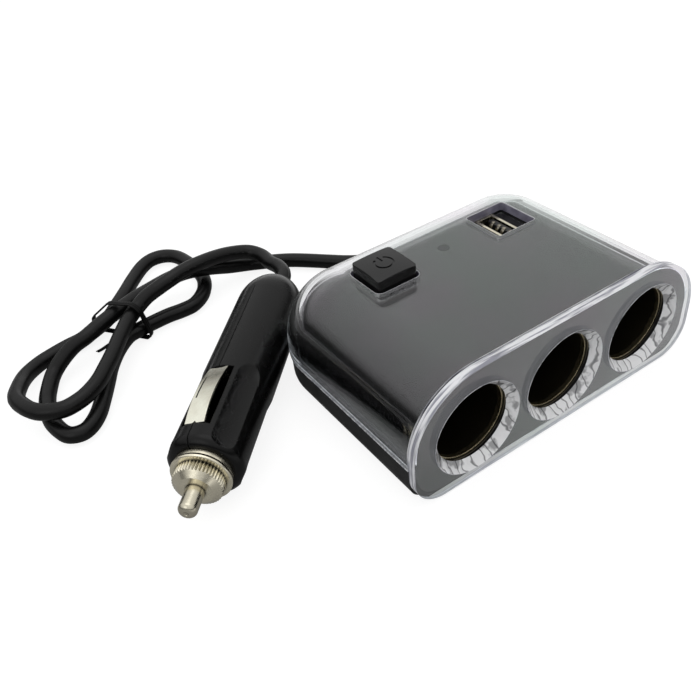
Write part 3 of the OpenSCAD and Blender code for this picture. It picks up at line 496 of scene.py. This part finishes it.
def tube_with_painted_shade(name, mouth, deep, mouth_y):
    """Plated tube, bright at its mouth and darker further in, with painted shade of the deep
    socket.
    """
    made = Finish(name)
    made.fixed(Metallic=1.0)
    spots = made.blotches(4 * MM, 5.0)
    depth = made.calculated("MULTIPLY_ADD", spots, 1.5 * MM, made.part_of(made.place, "Y"))
    # Painted shade: the tube grows darker with depth behind its mouth.
    painted_depth_shade = made.ranged(depth, 0, 1, mouth_y + 0.6 * MM, mouth_y + 2.2 * MM)
    made.colour_between(painted_depth_shade, mouth, deep)
    made.into("Roughness", made.ranged(painted_depth_shade, 0.22, 0.45, 0, 1))
    streaks = made.blotches(0.9 * MM, 5.0, made.stretched((1, 0.05, 1)))
    made.relief(streaks, 0.01 * MM, made.rounded(0.15 * MM))
    return made.material


def black_plastic(name, colour, rough, grain, depth, edge=0.0, specular=0.5):
    """Moulded plastic, mostly black: uneven gloss, a moulded grain and softened edges."""
    made = Finish(name)
    made.fixed(Specular_IOR_Level=specular)
    patches = made.ranged(made.blotches(12 * MM), 0, 1)
    made.colour_between(patches, shade(colour, 0.75), shade(colour, 1.35))
    made.rough_between(made.blotches(4 * MM, 6.0), *rough)
    soft = made.rounded(edge) if edge else None
    made.relief(made.blotches(grain, 3.0), depth, soft)
    return made.material


def smooth_black(name, colour):
    """Polished black plastic under the clear cover, slightly uneven in colour and gloss."""
    made = Finish(name)
    patches = made.ranged(made.blotches(30 * MM, 1.0), 0, 1)
    made.colour_between(patches, shade(colour, 0.8), shade(colour, 1.3))
    made.rough_between(made.blotches(30 * MM, 1.0), 0.02, 0.06)
    return made.material


def plated_metal(name, colour, rough, edge=0.0, painted_corner_shade=0.25, painted_shading=None):
    """Plated metal with streaks, slight staining, softened edges and painted shade in its corners.

    The corners keep the given share of the colour as painted shade. Between the two values of X
    given for the painted shading, the metal goes from half its colour to the whole of it, a
    painted shade.
    """
    made = Finish(name)
    made.fixed(Metallic=1.0)
    stains = made.ranged(made.blotches(5 * MM, 3.0), 0, 1)
    stained = made.mixed(stains, shade(colour, 0.85), shade(colour, 1.08))
    # Painted shade: the metal is darker towards one end along X.
    if painted_shading:
        along = made.ranged(made.part_of(made.place, "X"), 0, 1, *painted_shading)
        stained = made.mixed(along, shade(colour, 0.5), stained)
    # Painted shade: the corners and grooves that ambient occlusion finds are darkened.
    corner = made.add("AmbientOcclusion", samples=8)
    corner.inputs["Distance"].default_value = 0.9 * MM
    out_of_corner_shade = made.ranged(corner.outputs["AO"], 0, 1, 0.35, 0.9)
    made.colour_between(out_of_corner_shade, shade(colour, painted_corner_shade), stained)
    streaks = made.blotches(0.9 * MM, 5.0)
    made.rough_between(streaks, *rough)
    soft = made.rounded(edge) if edge else None
    made.relief(streaks, 0.012 * MM, soft)
    return made.material


def cord_sheath(name, colour):
    """Soft black cord: patchy, with a slight sheen and fine pitting."""
    made = Finish(name)
    made.fixed(Specular_IOR_Level=0.25)
    patches = made.ranged(made.blotches(8 * MM), 0, 1)
    made.colour_between(patches, shade(colour, 0.8), shade(colour, 1.4))
    made.rough_between(made.blotches(3 * MM, 6.0), 0.26, 0.4)
    made.relief(made.blotches(1.1 * MM, 4.0), 0.02 * MM)
    return made.material


def smoked_plastic(name):
    """Smoky plastic of the lamp's window, dark while the lamp is off."""
    made = Finish(name)
    made.fixed(Specular_IOR_Level=0.1)
    patches = made.ranged(made.blotches(1 * MM), 0, 1)
    made.colour_between(patches, (0.003, 0.0035, 0.005), (0.006, 0.007, 0.01))
    made.rough_between(made.blotches(0.8 * MM), 0.45, 0.6)
    return made.material


# Making pieces


def wear(piece, material):
    """Gives a piece this one material."""
    piece.data.materials.clear()
    piece.data.materials.append(material)


def dress(names, material):
    """Gives the named nodes one material."""
    for name in names:
        wear(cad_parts[name], material)


def settle(piece, material):
    """Gives a small new piece its material and fixes it to the housing."""
    wear(piece, material)
    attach(piece, "housing")


def alone(piece):
    """Leaves only this piece selected and active."""
    for other in bpy.context.selected_objects:
        other.select_set(False)
    piece.select_set(True)
    bpy.context.view_layer.objects.active = piece


def smooth_way(route, steps):
    """Points of a smooth way through a route in millimetres, given in metres."""
    points = [Vector(p) for p in route]
    points = [2 * points[0] - points[1]] + points + [2 * points[-1] - points[-2]]
    way = []
    for a, b, c, d in zip(points, points[1:], points[2:], points[3:]):
        for k in range(steps):
            t = k / steps
            way.append((2 * b + (c - a) * t + (2 * a - 5 * b + 4 * c - d) * t**2
                        + (3 * b - a - 3 * c + d) * t**3) / 2)
    way.append(points[-2])
    return [p * MM for p in way]


def open_curve(name, way, radius, resolution):
    """A round solid cord along the way, as one open curve."""
    shape = bpy.data.curves.new(name, "CURVE")
    shape.dimensions = "3D"
    shape.bevel_depth = radius
    shape.bevel_resolution = resolution
    shape.use_fill_caps = True
    line = shape.splines.new("POLY")
    line.points.add(len(way) - 1)
    for point, place in zip(line.points, way):
        point.co = (*place, 1)
    line.use_smooth = True
    piece = bpy.data.objects.new(name, shape)
    bpy.context.collection.objects.link(piece)
    return piece


def finish_mesh(piece, thickness=0.0, edge=0.0):
    """Gives a mesh its wall and soft edges, turns its faces outwards and smooths it."""
    alone(piece)
    if thickness:
        wall = piece.modifiers.new("wall", "SOLIDIFY")
        wall.thickness = thickness
        wall.offset = 0
        bpy.ops.object.modifier_apply(modifier=wall.name)
    if edge:
        soft = piece.modifiers.new("soft", "BEVEL")
        soft.width = edge
        soft.segments = 2
        soft.limit_method = "ANGLE"
        bpy.ops.object.modifier_apply(modifier=soft.name)
    bpy.ops.object.mode_set(mode="EDIT")
    bpy.ops.mesh.select_all(action="SELECT")
    bpy.ops.mesh.remove_doubles(threshold=0.001 * MM)
    bpy.ops.mesh.normals_make_consistent(inside=False)
    bpy.ops.object.mode_set(mode="OBJECT")
    bpy.ops.object.shade_smooth_by_angle(angle=math.radians(35))


def ribbon(name, way, across, thickness, closed=False):
    """A flat strip along the way, drawn out sideways by the vector across."""
    line = open_curve(name, [Vector(p) - across / 2 for p in way], 0, 0)
    line.data.splines[0].use_cyclic_u = closed
    alone(line)
    bpy.ops.object.convert(target="MESH")
    piece = bpy.context.object
    bpy.ops.object.mode_set(mode="EDIT")
    bpy.ops.mesh.select_all(action="SELECT")
    bpy.ops.mesh.extrude_edges_move(TRANSFORM_OT_translate={"value": across})
    bpy.ops.object.mode_set(mode="OBJECT")
    finish_mesh(piece, thickness=thickness, edge=0.25 * thickness)
    return piece


def wire(name, way, radius, closed=False):
    """A round wire along the way, as a mesh."""
    line = open_curve(name, way, radius, 3)
    line.data.splines[0].use_cyclic_u = closed
    alone(line)
    bpy.ops.object.convert(target="MESH")
    finish_mesh(bpy.context.object)
    return bpy.context.object


def joined(name, pieces):
    """One piece out of several."""
    alone(pieces[0])
    for other in pieces[1:]:
        other.select_set(True)
    bpy.ops.object.join()
    piece = bpy.context.object
    piece.name = piece.data.name = name
    return piece


def flat_start(name, place, size, rotation=(0, 0, 0)):
    """A flat rectangle to shape further, at its place, alone and named."""
    bpy.ops.object.select_all(action="DESELECT")
    bpy.ops.mesh.primitive_plane_add(size=1, location=(0, 0, 0), rotation=rotation)
    piece = bpy.context.object
    piece.name = piece.data.name = name
    piece.scale = (*size, 1)
    piece.location = place
    bpy.ops.object.transform_apply(location=True, rotation=True, scale=True)
    return piece


# Operators


class SPLITTER_OT_camera(bpy.types.Operator):
    """Places the camera where the photograph was taken"""

    bl_idname = "splitter.camera"
    bl_label = "Camera"

    def execute(self, context):
        turn = math.radians(CAMERA_TURN)
        dip = math.radians(CAMERA_DIP)
        roll = math.radians(CAMERA_ROLL)
        ahead = Vector(
            (math.sin(turn) * math.cos(dip), math.cos(turn) * math.cos(dip), -math.sin(dip))
        )
        side = ahead.cross(Vector((0, 0, 1))).normalized()
        rise = side.cross(ahead)
        across = side * math.cos(roll) + rise * math.sin(roll)
        up = -side * math.sin(roll) + rise * math.cos(roll)
        lens = bpy.data.cameras.new("camera")
        lens.lens = CAMERA_LENS
        lens.sensor_width = CAMERA_SENSOR
        lens.clip_start = CAMERA_CLIP
        camera = bpy.data.objects.new("camera", lens)
        context.collection.objects.link(camera)
        turned = Matrix((across, up, -ahead)).transposed().to_4x4()
        camera.matrix_world = Matrix.Translation(CAMERA_PLACE) @ turned
        context.scene.camera = camera
        return {"FINISHED"}


class SPLITTER_OT_cord(bpy.types.Operator):
    """Lays the cord from the housing through its tied loops to the plug"""

    bl_idname = "splitter.cord"
    bl_label = "Cord"

    def execute(self, context):
        sizes = context.scene.splitter.cord
        colour = context.scene.splitter.colours.sheath
        way = smooth_way(SUPPLY_ROUTE + COIL_ROUTE + PLUG_ROUTE, ROUTE_STEPS)
        cord = open_curve("cord", way, sizes.diameter / 2, 5)
        cord.data.materials.append(cord_sheath("cord_sheath", colour))
        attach(cord, "housing")
        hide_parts("cord_supply", "cord_coil", "cord_plug_end")
        on_it = [self.tie(colour)] + [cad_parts[name] for name in (
            "plug_half_a", "plug_half_b", "side_contact_top", "side_contact_under", "nose_nut",
            "centre_pin", "fuse", "fuse_spring",
        )]
        return {"FINISHED"}

    @staticmethod
    def tie(colour):
        """The wired tie round the four strands, twisted shut by the ground, with two ends."""
        turn = math.radians(TIE_HEADING)
        ahead = Vector((math.cos(turn), math.sin(turn), 0))
        aside = Vector((-math.sin(turn), math.cos(turn), 0))

        def spot(along, side, height):
            return Vector(TIE_PLACE) + along * ahead + side * aside + Vector((0, 0, height))

        loop = []
        for step in range(TIE_STEPS):
            angle = math.tau * step / TIE_STEPS
            out = Vector((math.cos(angle), math.sin(angle)))
            slack = sum(most * max(0, out.dot(Vector(way))) ** 2 for most, way in TIE_SLACK)
            strand = max((Vector(place) for place in TIE_STRANDS), key=out.dot)
            outer = strand + (TIE_REACH + slack) * out
            loop.append(spot(0, outer.x, max(outer.y, TIE_LOWEST)) * MM)
        pieces = [
            ribbon("tie_band", loop, TIE_BAND_W * MM * ahead, TIE_BAND_T * MM, closed=True),
            wire("tie_core", loop, TIE_WIRE_R * MM, closed=True),
        ]
        start, middle, height = TWIST_START
        for side in (0, 1):
            twist = []
            for step in range(TWIST_STEPS + 1):
                angle = math.tau * TWIST_TURNS * step / TWIST_STEPS + side * math.pi
                along = start - TWIST_LEN * step / TWIST_STEPS
                aslant = middle + TWIST_R * math.cos(angle)
                twist.append(spot(along, aslant, height + TWIST_R * math.sin(angle)) * MM)
            pieces.append(wire("tie_twist", twist, TWIST_WIRE_R * MM))
        for end in TIE_ENDS:
            way = smooth_way([spot(*place) for place in end], TIE_END_STEPS)
            pieces.append(ribbon("tie_end", way, TIE_END_W * MM * aside, TIE_END_T * MM))
            pieces.append(wire("tie_end_core", way, TIE_END_WIRE_R * MM))
        tie = joined("tie", pieces)
        settle(tie, black_plastic(
            "tie_black", shade(colour, 0.4), rough=(0.3, 0.45), grain=0.6 * MM, depth=0.02 * MM,
            specular=0.15,
        ))
        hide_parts("twist_tie")
        return tie


class SPLITTER_OT_housing(bpy.types.Operator):
    """Finishes the clear cover, the black housing and the front"""

    bl_idname = "splitter.housing"
    bl_label = "Housing"

    def execute(self, context):
        colours = context.scene.splitter.colours
        black = colours.satin_black
        grain = {"grain": 0.8 * MM, "depth": 0.02 * MM}
        dress(["clear_cover"], clear_plastic("clear_cover", colours.clear, cover_edges))
        dress(["front_plate"], clear_plastic("clear_plate", colours.clear, plate_edges))
        dress(["inner_shell", "front_panel"], smooth_black("gloss_black", colours.gloss_black))
        dress(["strain_relief", "switch_body"], black_plastic(
            "satin_black", black, rough=(0.28, 0.42), edge=0.3 * MM, specular=0.3, **grain))
        dress(["base_shell"], black_plastic(
            "base_black", shade(black, 0.5), rough=(0.3, 0.42), edge=0.3 * MM, specular=0.12,
            **grain))
        dress([kind + side for kind in ("liner_", "disc_") for side in ("left", "mid", "right")],
              black_plastic(
                  "dull_black", shade(black, 0.3), rough=(0.4, 0.55), edge=0.2 * MM,
                  specular=0.2, **grain))
        return {"FINISHED"}


class SPLITTER_OT_cut_edges(bpy.types.Operator):
    """Adds the cut edges of the clear plastic round the sockets, the button and the port, bright
    with painted light
    """

    bl_idname = "splitter.cut_edges"
    bl_label = "Cut edges"

    def execute(self, context):
        bright = faceted_plastic("funnel_facets")
        low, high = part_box("front_plate")
        for side in ("left", "mid", "right"):
            can_low, can_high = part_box("can_" + side)
            self.funnel(side, (can_low + can_high) / 2, low.y, high.y, bright)
        self.panel_line(lit_line("panel_line"))
        cover_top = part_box("clear_cover")[1].z
        greyish = window_plastic("window_edge", cover_top)
        port_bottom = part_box("usb_shell")[1].z + 0.1 * MM
        self.window("port_window", "usb_shell", PORT_OPENING, port_bottom, cover_top, greyish)
        button_bottom = cover_top - BUTTON_OPENING_H
        self.window(
            "button_window", "power_button", BUTTON_OPENING, button_bottom, cover_top, greyish
        )
        return {"FINISHED"}

    @staticmethod
    def panel_line(material):
        """The thin glowing line round the black panel, a painted highlight at the clear plate's
        inner edge.
        """
        low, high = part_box("front_panel")
        middle = (low + high) / 2
        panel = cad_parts["front_panel"]
        corners = [panel.matrix_world @ vertex.co for vertex in panel.data.vertices]
        piece = flat_start(
            "panel_line", (middle.x, low.y + PANEL_LINE_R, middle.z),
            (high.x - low.x + 2 * PANEL_LINE_R, high.z - low.z + 2 * PANEL_LINE_R),
            rotation=(math.radians(90), 0, 0),
        )
        for top, level in ((True, high.z), (False, low.z)):
            flat_end = max(corner.x for corner in corners if abs(corner.z - level) < 0.01 * MM)
            for corner in piece.data.vertices:
                corner.select = (corner.co.z > middle.z) == top
            bpy.ops.object.mode_set(mode="EDIT")
            bpy.ops.mesh.select_mode(type="VERT")
            bpy.ops.mesh.bevel(
                affect="VERTICES", offset=high.x - flat_end + PANEL_LINE_R, segments=12
            )
            bpy.ops.mesh.select_all(action="DESELECT")
            bpy.ops.object.mode_set(mode="OBJECT")
        bpy.ops.object.mode_set(mode="EDIT")
        bpy.ops.mesh.select_all(action="SELECT")
        bpy.ops.mesh.delete(type="ONLY_FACE")
        bpy.ops.object.mode_set(mode="OBJECT")
        bpy.ops.object.convert(target="CURVE")
        piece = bpy.context.object
        piece.data.bevel_depth = PANEL_LINE_R
        piece.data.bevel_resolution = 2
        bpy.ops.object.convert(target="MESH")
        piece = bpy.context.object
        finish_mesh(piece)
        settle(piece, material)

    @staticmethod
    def funnel(side, axis, front_y, rear_y, material):
        """A thin lining on the funnel's slope, which carries its painted light."""
        bpy.ops.object.select_all(action="DESELECT")
        bpy.ops.mesh.primitive_cone_add(
            vertices=96, radius1=FUNNEL_ROOT + FUNNEL_SPREAD - FUNNEL_GAP,
            radius2=FUNNEL_ROOT - FUNNEL_GAP, depth=rear_y - front_y, end_fill_type="NOTHING",
            location=(axis.x, (front_y + rear_y) / 2, axis.z), rotation=(math.radians(-90), 0, 0),
        )
        piece = bpy.context.object
        piece.name = piece.data.name = "funnel_" + side
        bpy.ops.object.transform_apply(location=True, rotation=True, scale=True)
        bpy.ops.object.mode_set(mode="EDIT")
        bpy.ops.mesh.select_all(action="SELECT")
        bpy.ops.mesh.subdivide(number_cuts=5)
        bpy.ops.object.mode_set(mode="OBJECT")
        finish_mesh(piece, thickness=FUNNEL_T)
        settle(piece, material)

    @staticmethod
    def window(name, node, opening, low_z, high_z, material):
        """A thin lining on the walls of the cover's opening over a node, which carries a painted
        highlight.
        """
        low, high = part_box(node)
        middle = (low + high) / 2
        width, depth, corner = opening
        piece = flat_start(
            name, (middle.x, middle.y, low_z), (width - 2 * OPENING_GAP, depth - 2 * OPENING_GAP)
        )
        bpy.ops.object.mode_set(mode="EDIT")
        bpy.ops.mesh.select_all(action="SELECT")
        bpy.ops.mesh.bevel(affect="VERTICES", offset=corner, segments=6)
        bpy.ops.mesh.delete(type="ONLY_FACE")
        bpy.ops.mesh.select_all(action="SELECT")
        rise = {"value": (0, 0, high_z - low_z)}
        bpy.ops.mesh.extrude_edges_move(TRANSFORM_OT_translate=rise)
        bpy.ops.object.mode_set(mode="OBJECT")
        finish_mesh(piece, thickness=OPENING_T)
        settle(piece, material)


class SPLITTER_OT_sockets(bpy.types.Operator):
    """Finishes the metal sockets and their contacts"""

    bl_idname = "splitter.sockets"
    bl_label = "Sockets"

    def execute(self, context):
        brass = context.scene.splitter.colours.brass
        # The second colour is the painted shade deep inside the sockets.
        dress(["can_left", "can_mid", "can_right"], tube_with_painted_shade(
            "socket_tube", brass, shade(brass, 0.06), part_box("can_mid")[0].y))
        dress(["contact_left", "contact_mid", "contact_right"], plated_metal(
            "socket_brass", shade(brass, 0.3), rough=(0.22, 0.38), edge=0.2 * MM))
        return {"FINISHED"}


class SPLITTER_OT_controls(bpy.types.Operator):
    """Finishes the power button, the lamp, the board and the port"""

    bl_idname = "splitter.controls"
    bl_label = "Controls"

    def execute(self, context):
        colours = context.scene.splitter.colours
        dress(["power_button"], black_plastic(
            "button_black", shade(colours.satin_black, 0.7), rough=(0.18, 0.27),
            grain=0.6 * MM, depth=0.008 * MM, specular=0.4))
        dress(["lamp_pipe"], smoked_plastic("lamp_smoke"))
        dress(["circuit_board"], black_plastic(
            "board_green", (0.01, 0.09, 0.03), rough=(0.25, 0.4), grain=1 * MM,
            depth=0.02 * MM))
        dress(["lamp_diode"], black_plastic(
            "lamp_blue", (0.1, 0.25, 0.6), rough=(0.2, 0.3), grain=1 * MM, depth=0.01 * MM))
        dress(["usb_tongue"], black_plastic(
            "tongue_black", colours.satin_black, rough=(0.3, 0.4), grain=1 * MM,
            depth=0.01 * MM, edge=0.2 * MM))
        steel = plated_metal("port_steel", colours.nickel, rough=(0.18, 0.3), edge=0.1 * MM)
        dull = plated_metal("port_contact", (0.34, 0.31, 0.25), rough=(0.2, 0.32))
        self.strips("port_contacts", "usb_tongue", CONTACT_PROFILE, CONTACT_SIDES, 1.1, 0.24, dull)
        self.strips("port_springs", "usb_shell", SPRING_PROFILE, SPRING_SIDES, 1.8, 0.22, steel)
        dress(["usb_shell", "screw_front_left", "screw_front_right", "screw_rear_left",
               "screw_rear_right"], steel)
        return {"FINISHED"}

    @staticmethod
    def strips(name, node, profile, sides, width, thickness, material):
        """Bent metal strips side by side on a node of the port, as one piece."""
        low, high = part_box(node)
        pieces = []
        for side in sides:
            across = (low.y + high.y) / 2 + side * MM
            way = [Vector((low.x + inward * MM, across, high.z + up * MM))
                   for inward, up in profile]
            pieces.append(ribbon("strip", way, Vector((0, width * MM, 0)), thickness * MM))
        settle(joined(name, pieces), material)


class SPLITTER_OT_plug(bpy.types.Operator):
    """Finishes the plug's barrel and its metal parts"""

    bl_idname = "splitter.plug"
    bl_label = "Plug"

    def execute(self, context):
        colours = context.scene.splitter.colours
        nickel = colours.nickel
        dress(["plug_half_a", "plug_half_b"], black_plastic(
            "plug_black", shade(colours.satin_black, 0.25), rough=(0.2, 0.3), grain=0.7 * MM,
            depth=0.012 * MM, edge=0.4 * MM, specular=0.22))
        low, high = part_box("side_contact_top")
        # The contact strips are painted darker towards their high X end, a painted shade.
        painted_shading = (high.x, 0.7 * low.x + 0.3 * high.x)
        dress(["side_contact_top", "side_contact_under"], plated_metal(
            "contact_nickel", (1.0, 0.96, 0.8), rough=(0.12, 0.25), edge=0.12 * MM, painted_corner_shade=0.3,
            painted_shading=painted_shading))
        dress(["nose_nut"], plated_metal(
            "nut_nickel", shade(nickel, 1.08), rough=(0.18, 0.3), edge=0.08 * MM, painted_corner_shade=0.06))
        dress(["centre_pin", "fuse_spring"], plated_metal(
            "pin_nickel", shade(nickel, 0.78), rough=(0.14, 0.26), edge=0.2 * MM, painted_corner_shade=0.2))
        dress(["fuse"], plated_metal(
            "fuse_cap", (0.8, 0.8, 0.8), rough=(0.15, 0.25), edge=0.1 * MM))
        return {"FINISHED"}


class SPLITTER_OT_stage(bpy.types.Operator):
    """Sets the white floor, the surroundings and the soft lamps"""

    bl_idname = "splitter.stage"
    bl_label = "Stage"

    def execute(self, context):
        stage = context.scene.splitter.stage
        context.scene.view_settings.view_transform = "Standard"
        bpy.ops.mesh.primitive_plane_add(size=FLOOR_SIZE, location=(0, 0, -FLOOR_DROP))
        floor = context.object
        floor.name = "floor"
        floor.data.materials.append(self.floor_material(stage))
        self.surroundings(context, stage)
        for name, (place, size, share) in LAMPS.items():
            self.lamp(context, name, place, size, share * stage.top_power)
        return {"FINISHED"}

    @staticmethod
    def floor_material(stage):
        """White where it is seen, with the object's shadow, and uneven in glosses."""
        material = bpy.data.materials.new("floor_white")
        material.use_nodes = True
        made = Wiring(material.node_tree)
        made.tree.nodes.remove(made.tree.nodes["Principled BSDF"])
        place = made.add("TexCoord").outputs["Object"]
        ahead = made.ranged(
            made.reach(place, FLOOR_AHEAD), stage.floor_dim, stage.floor_bright, -0.02, 0.04,
            "SMOOTHSTEP",
        )
        beyond = made.ranged(
            made.reach(place, FLOOR_BEYOND), 0, stage.beyond, 0.045, 0.075, "SMOOTHSTEP"
        )
        in_gloss = made.calculated("MAXIMUM", ahead, beyond)
        level = made.between(made.rays("Is Glossy Ray"), stage.floor_glow, in_gloss)
        paper = made.add("BsdfDiffuse")
        paper.inputs["Color"].default_value = (0.25, 0.25, 0.25, 1)
        glow = made.add("Emission")
        glow.inputs["Color"].default_value = (*stage.backdrop, 1)
        made.give(glow.inputs["Strength"], made.calculated("MULTIPLY", made.seen(), level))
        both = made.add("AddShader")
        made.give(both.inputs[0], paper.outputs[0])
        made.give(both.inputs[1], glow.outputs[0])
        made.give(made.tree.nodes["Material Output"].inputs["Surface"], both.outputs[0])
        return material

    @staticmethod
    def surroundings(context, stage):
        """Plain light from all round, and the backdrop that the camera and the glosses show."""
        world = bpy.data.worlds.new("surroundings")
        world.use_nodes = True
        context.scene.world = world
        made = Wiring(world.node_tree)
        light = made.tree.nodes["Background"]
        light.inputs["Color"].default_value = (1, 1, 1, 1)
        light.inputs["Strength"].default_value = stage.fill
        way = made.add("TexCoord").outputs["Generated"]
        climb = made.add("ValToRGB")
        stops = climb.color_ramp.elements
        stops.remove(stops[1])
        stops[0].color = (stage.dim, stage.dim, stage.dim, 1)
        for height, level in [(DIM_HEIGHT, stage.dim)] + SKY_LEVELS:
            stops.new(height).color = (level, level, level, 1)
        made.give(climb.inputs["Fac"], made.part_of(way, "Z"))
        beyond = made.ranged(made.reach(way, SKY_BEYOND), 0, stage.beyond, 0.88, 0.97)
        in_gloss = made.calculated("MAXIMUM", climb.outputs["Color"], beyond)
        shown = made.add("Background")
        shown.inputs["Color"].default_value = (*stage.backdrop, 1)
        level = made.between(made.rays("Is Glossy Ray"), 1.0, in_gloss)
        made.give(shown.inputs["Strength"], level)
        mix = made.add("MixShader")
        made.give(mix.inputs[0], made.seen())
        made.give(mix.inputs[1], light.outputs[0])
        made.give(mix.inputs[2], shown.outputs[0])
        made.give(made.tree.nodes["World Output"].inputs["Surface"], mix.outputs[0])

    @staticmethod
    def lamp(context, name, place, size, power):
        """A round soft lamp that points at the object."""
        data = bpy.data.lights.new(name, "AREA")
        data.shape = "DISK"
        data.size = size
        data.energy = power
        lamp = bpy.data.objects.new(name, data)
        context.collection.objects.link(lamp)
        lamp.location = place
        back = Vector(place) - Vector(LAMP_TARGET)
        lamp.rotation_euler = back.to_track_quat("Z", "Y").to_euler()


# The add-on


class SplitterSettings(bpy.types.PropertyGroup):
    cord: PointerProperty(type=CordSizes)
    stage: PointerProperty(type=StageSettings)
    colours: PointerProperty(type=FinishColours)


class SPLITTER_PT_sidebar(bpy.types.Panel):
    """Lists the steps and the settings in the 3D view's sidebar"""

    bl_label = "Socket splitter"
    bl_space_type = "VIEW_3D"
    bl_region_type = "UI"
    bl_category = "Splitter"

    def draw(self, context):
        for name in STEPS:
            self.layout.operator("splitter." + name)
        for group in ("cord", "colours", "stage"):
            box = self.layout.box()
            values = getattr(context.scene.splitter, group)
            for key in values.__annotations__:
                box.prop(values, key)


STEPS = ["camera", "cord", "housing", "cut_edges", "sockets", "controls", "plug", "stage"]
CLASSES = [
    CordSizes, StageSettings, FinishColours, SplitterSettings, SPLITTER_OT_camera,
    SPLITTER_OT_cord, SPLITTER_OT_housing, SPLITTER_OT_cut_edges, SPLITTER_OT_sockets,
    SPLITTER_OT_controls, SPLITTER_OT_plug, SPLITTER_OT_stage, SPLITTER_PT_sidebar,
]


def register():
    for entry in CLASSES:
        bpy.utils.register_class(entry)
    bpy.types.Scene.splitter = PointerProperty(type=SplitterSettings)


def unregister():
    del bpy.types.Scene.splitter
    for entry in reversed(CLASSES):
        bpy.utils.unregister_class(entry)


def main():
    """Makes everything in order."""
    register()
    for name in STEPS:
        getattr(bpy.ops.splitter, name)()


if __name__ == "__main__":
    main()
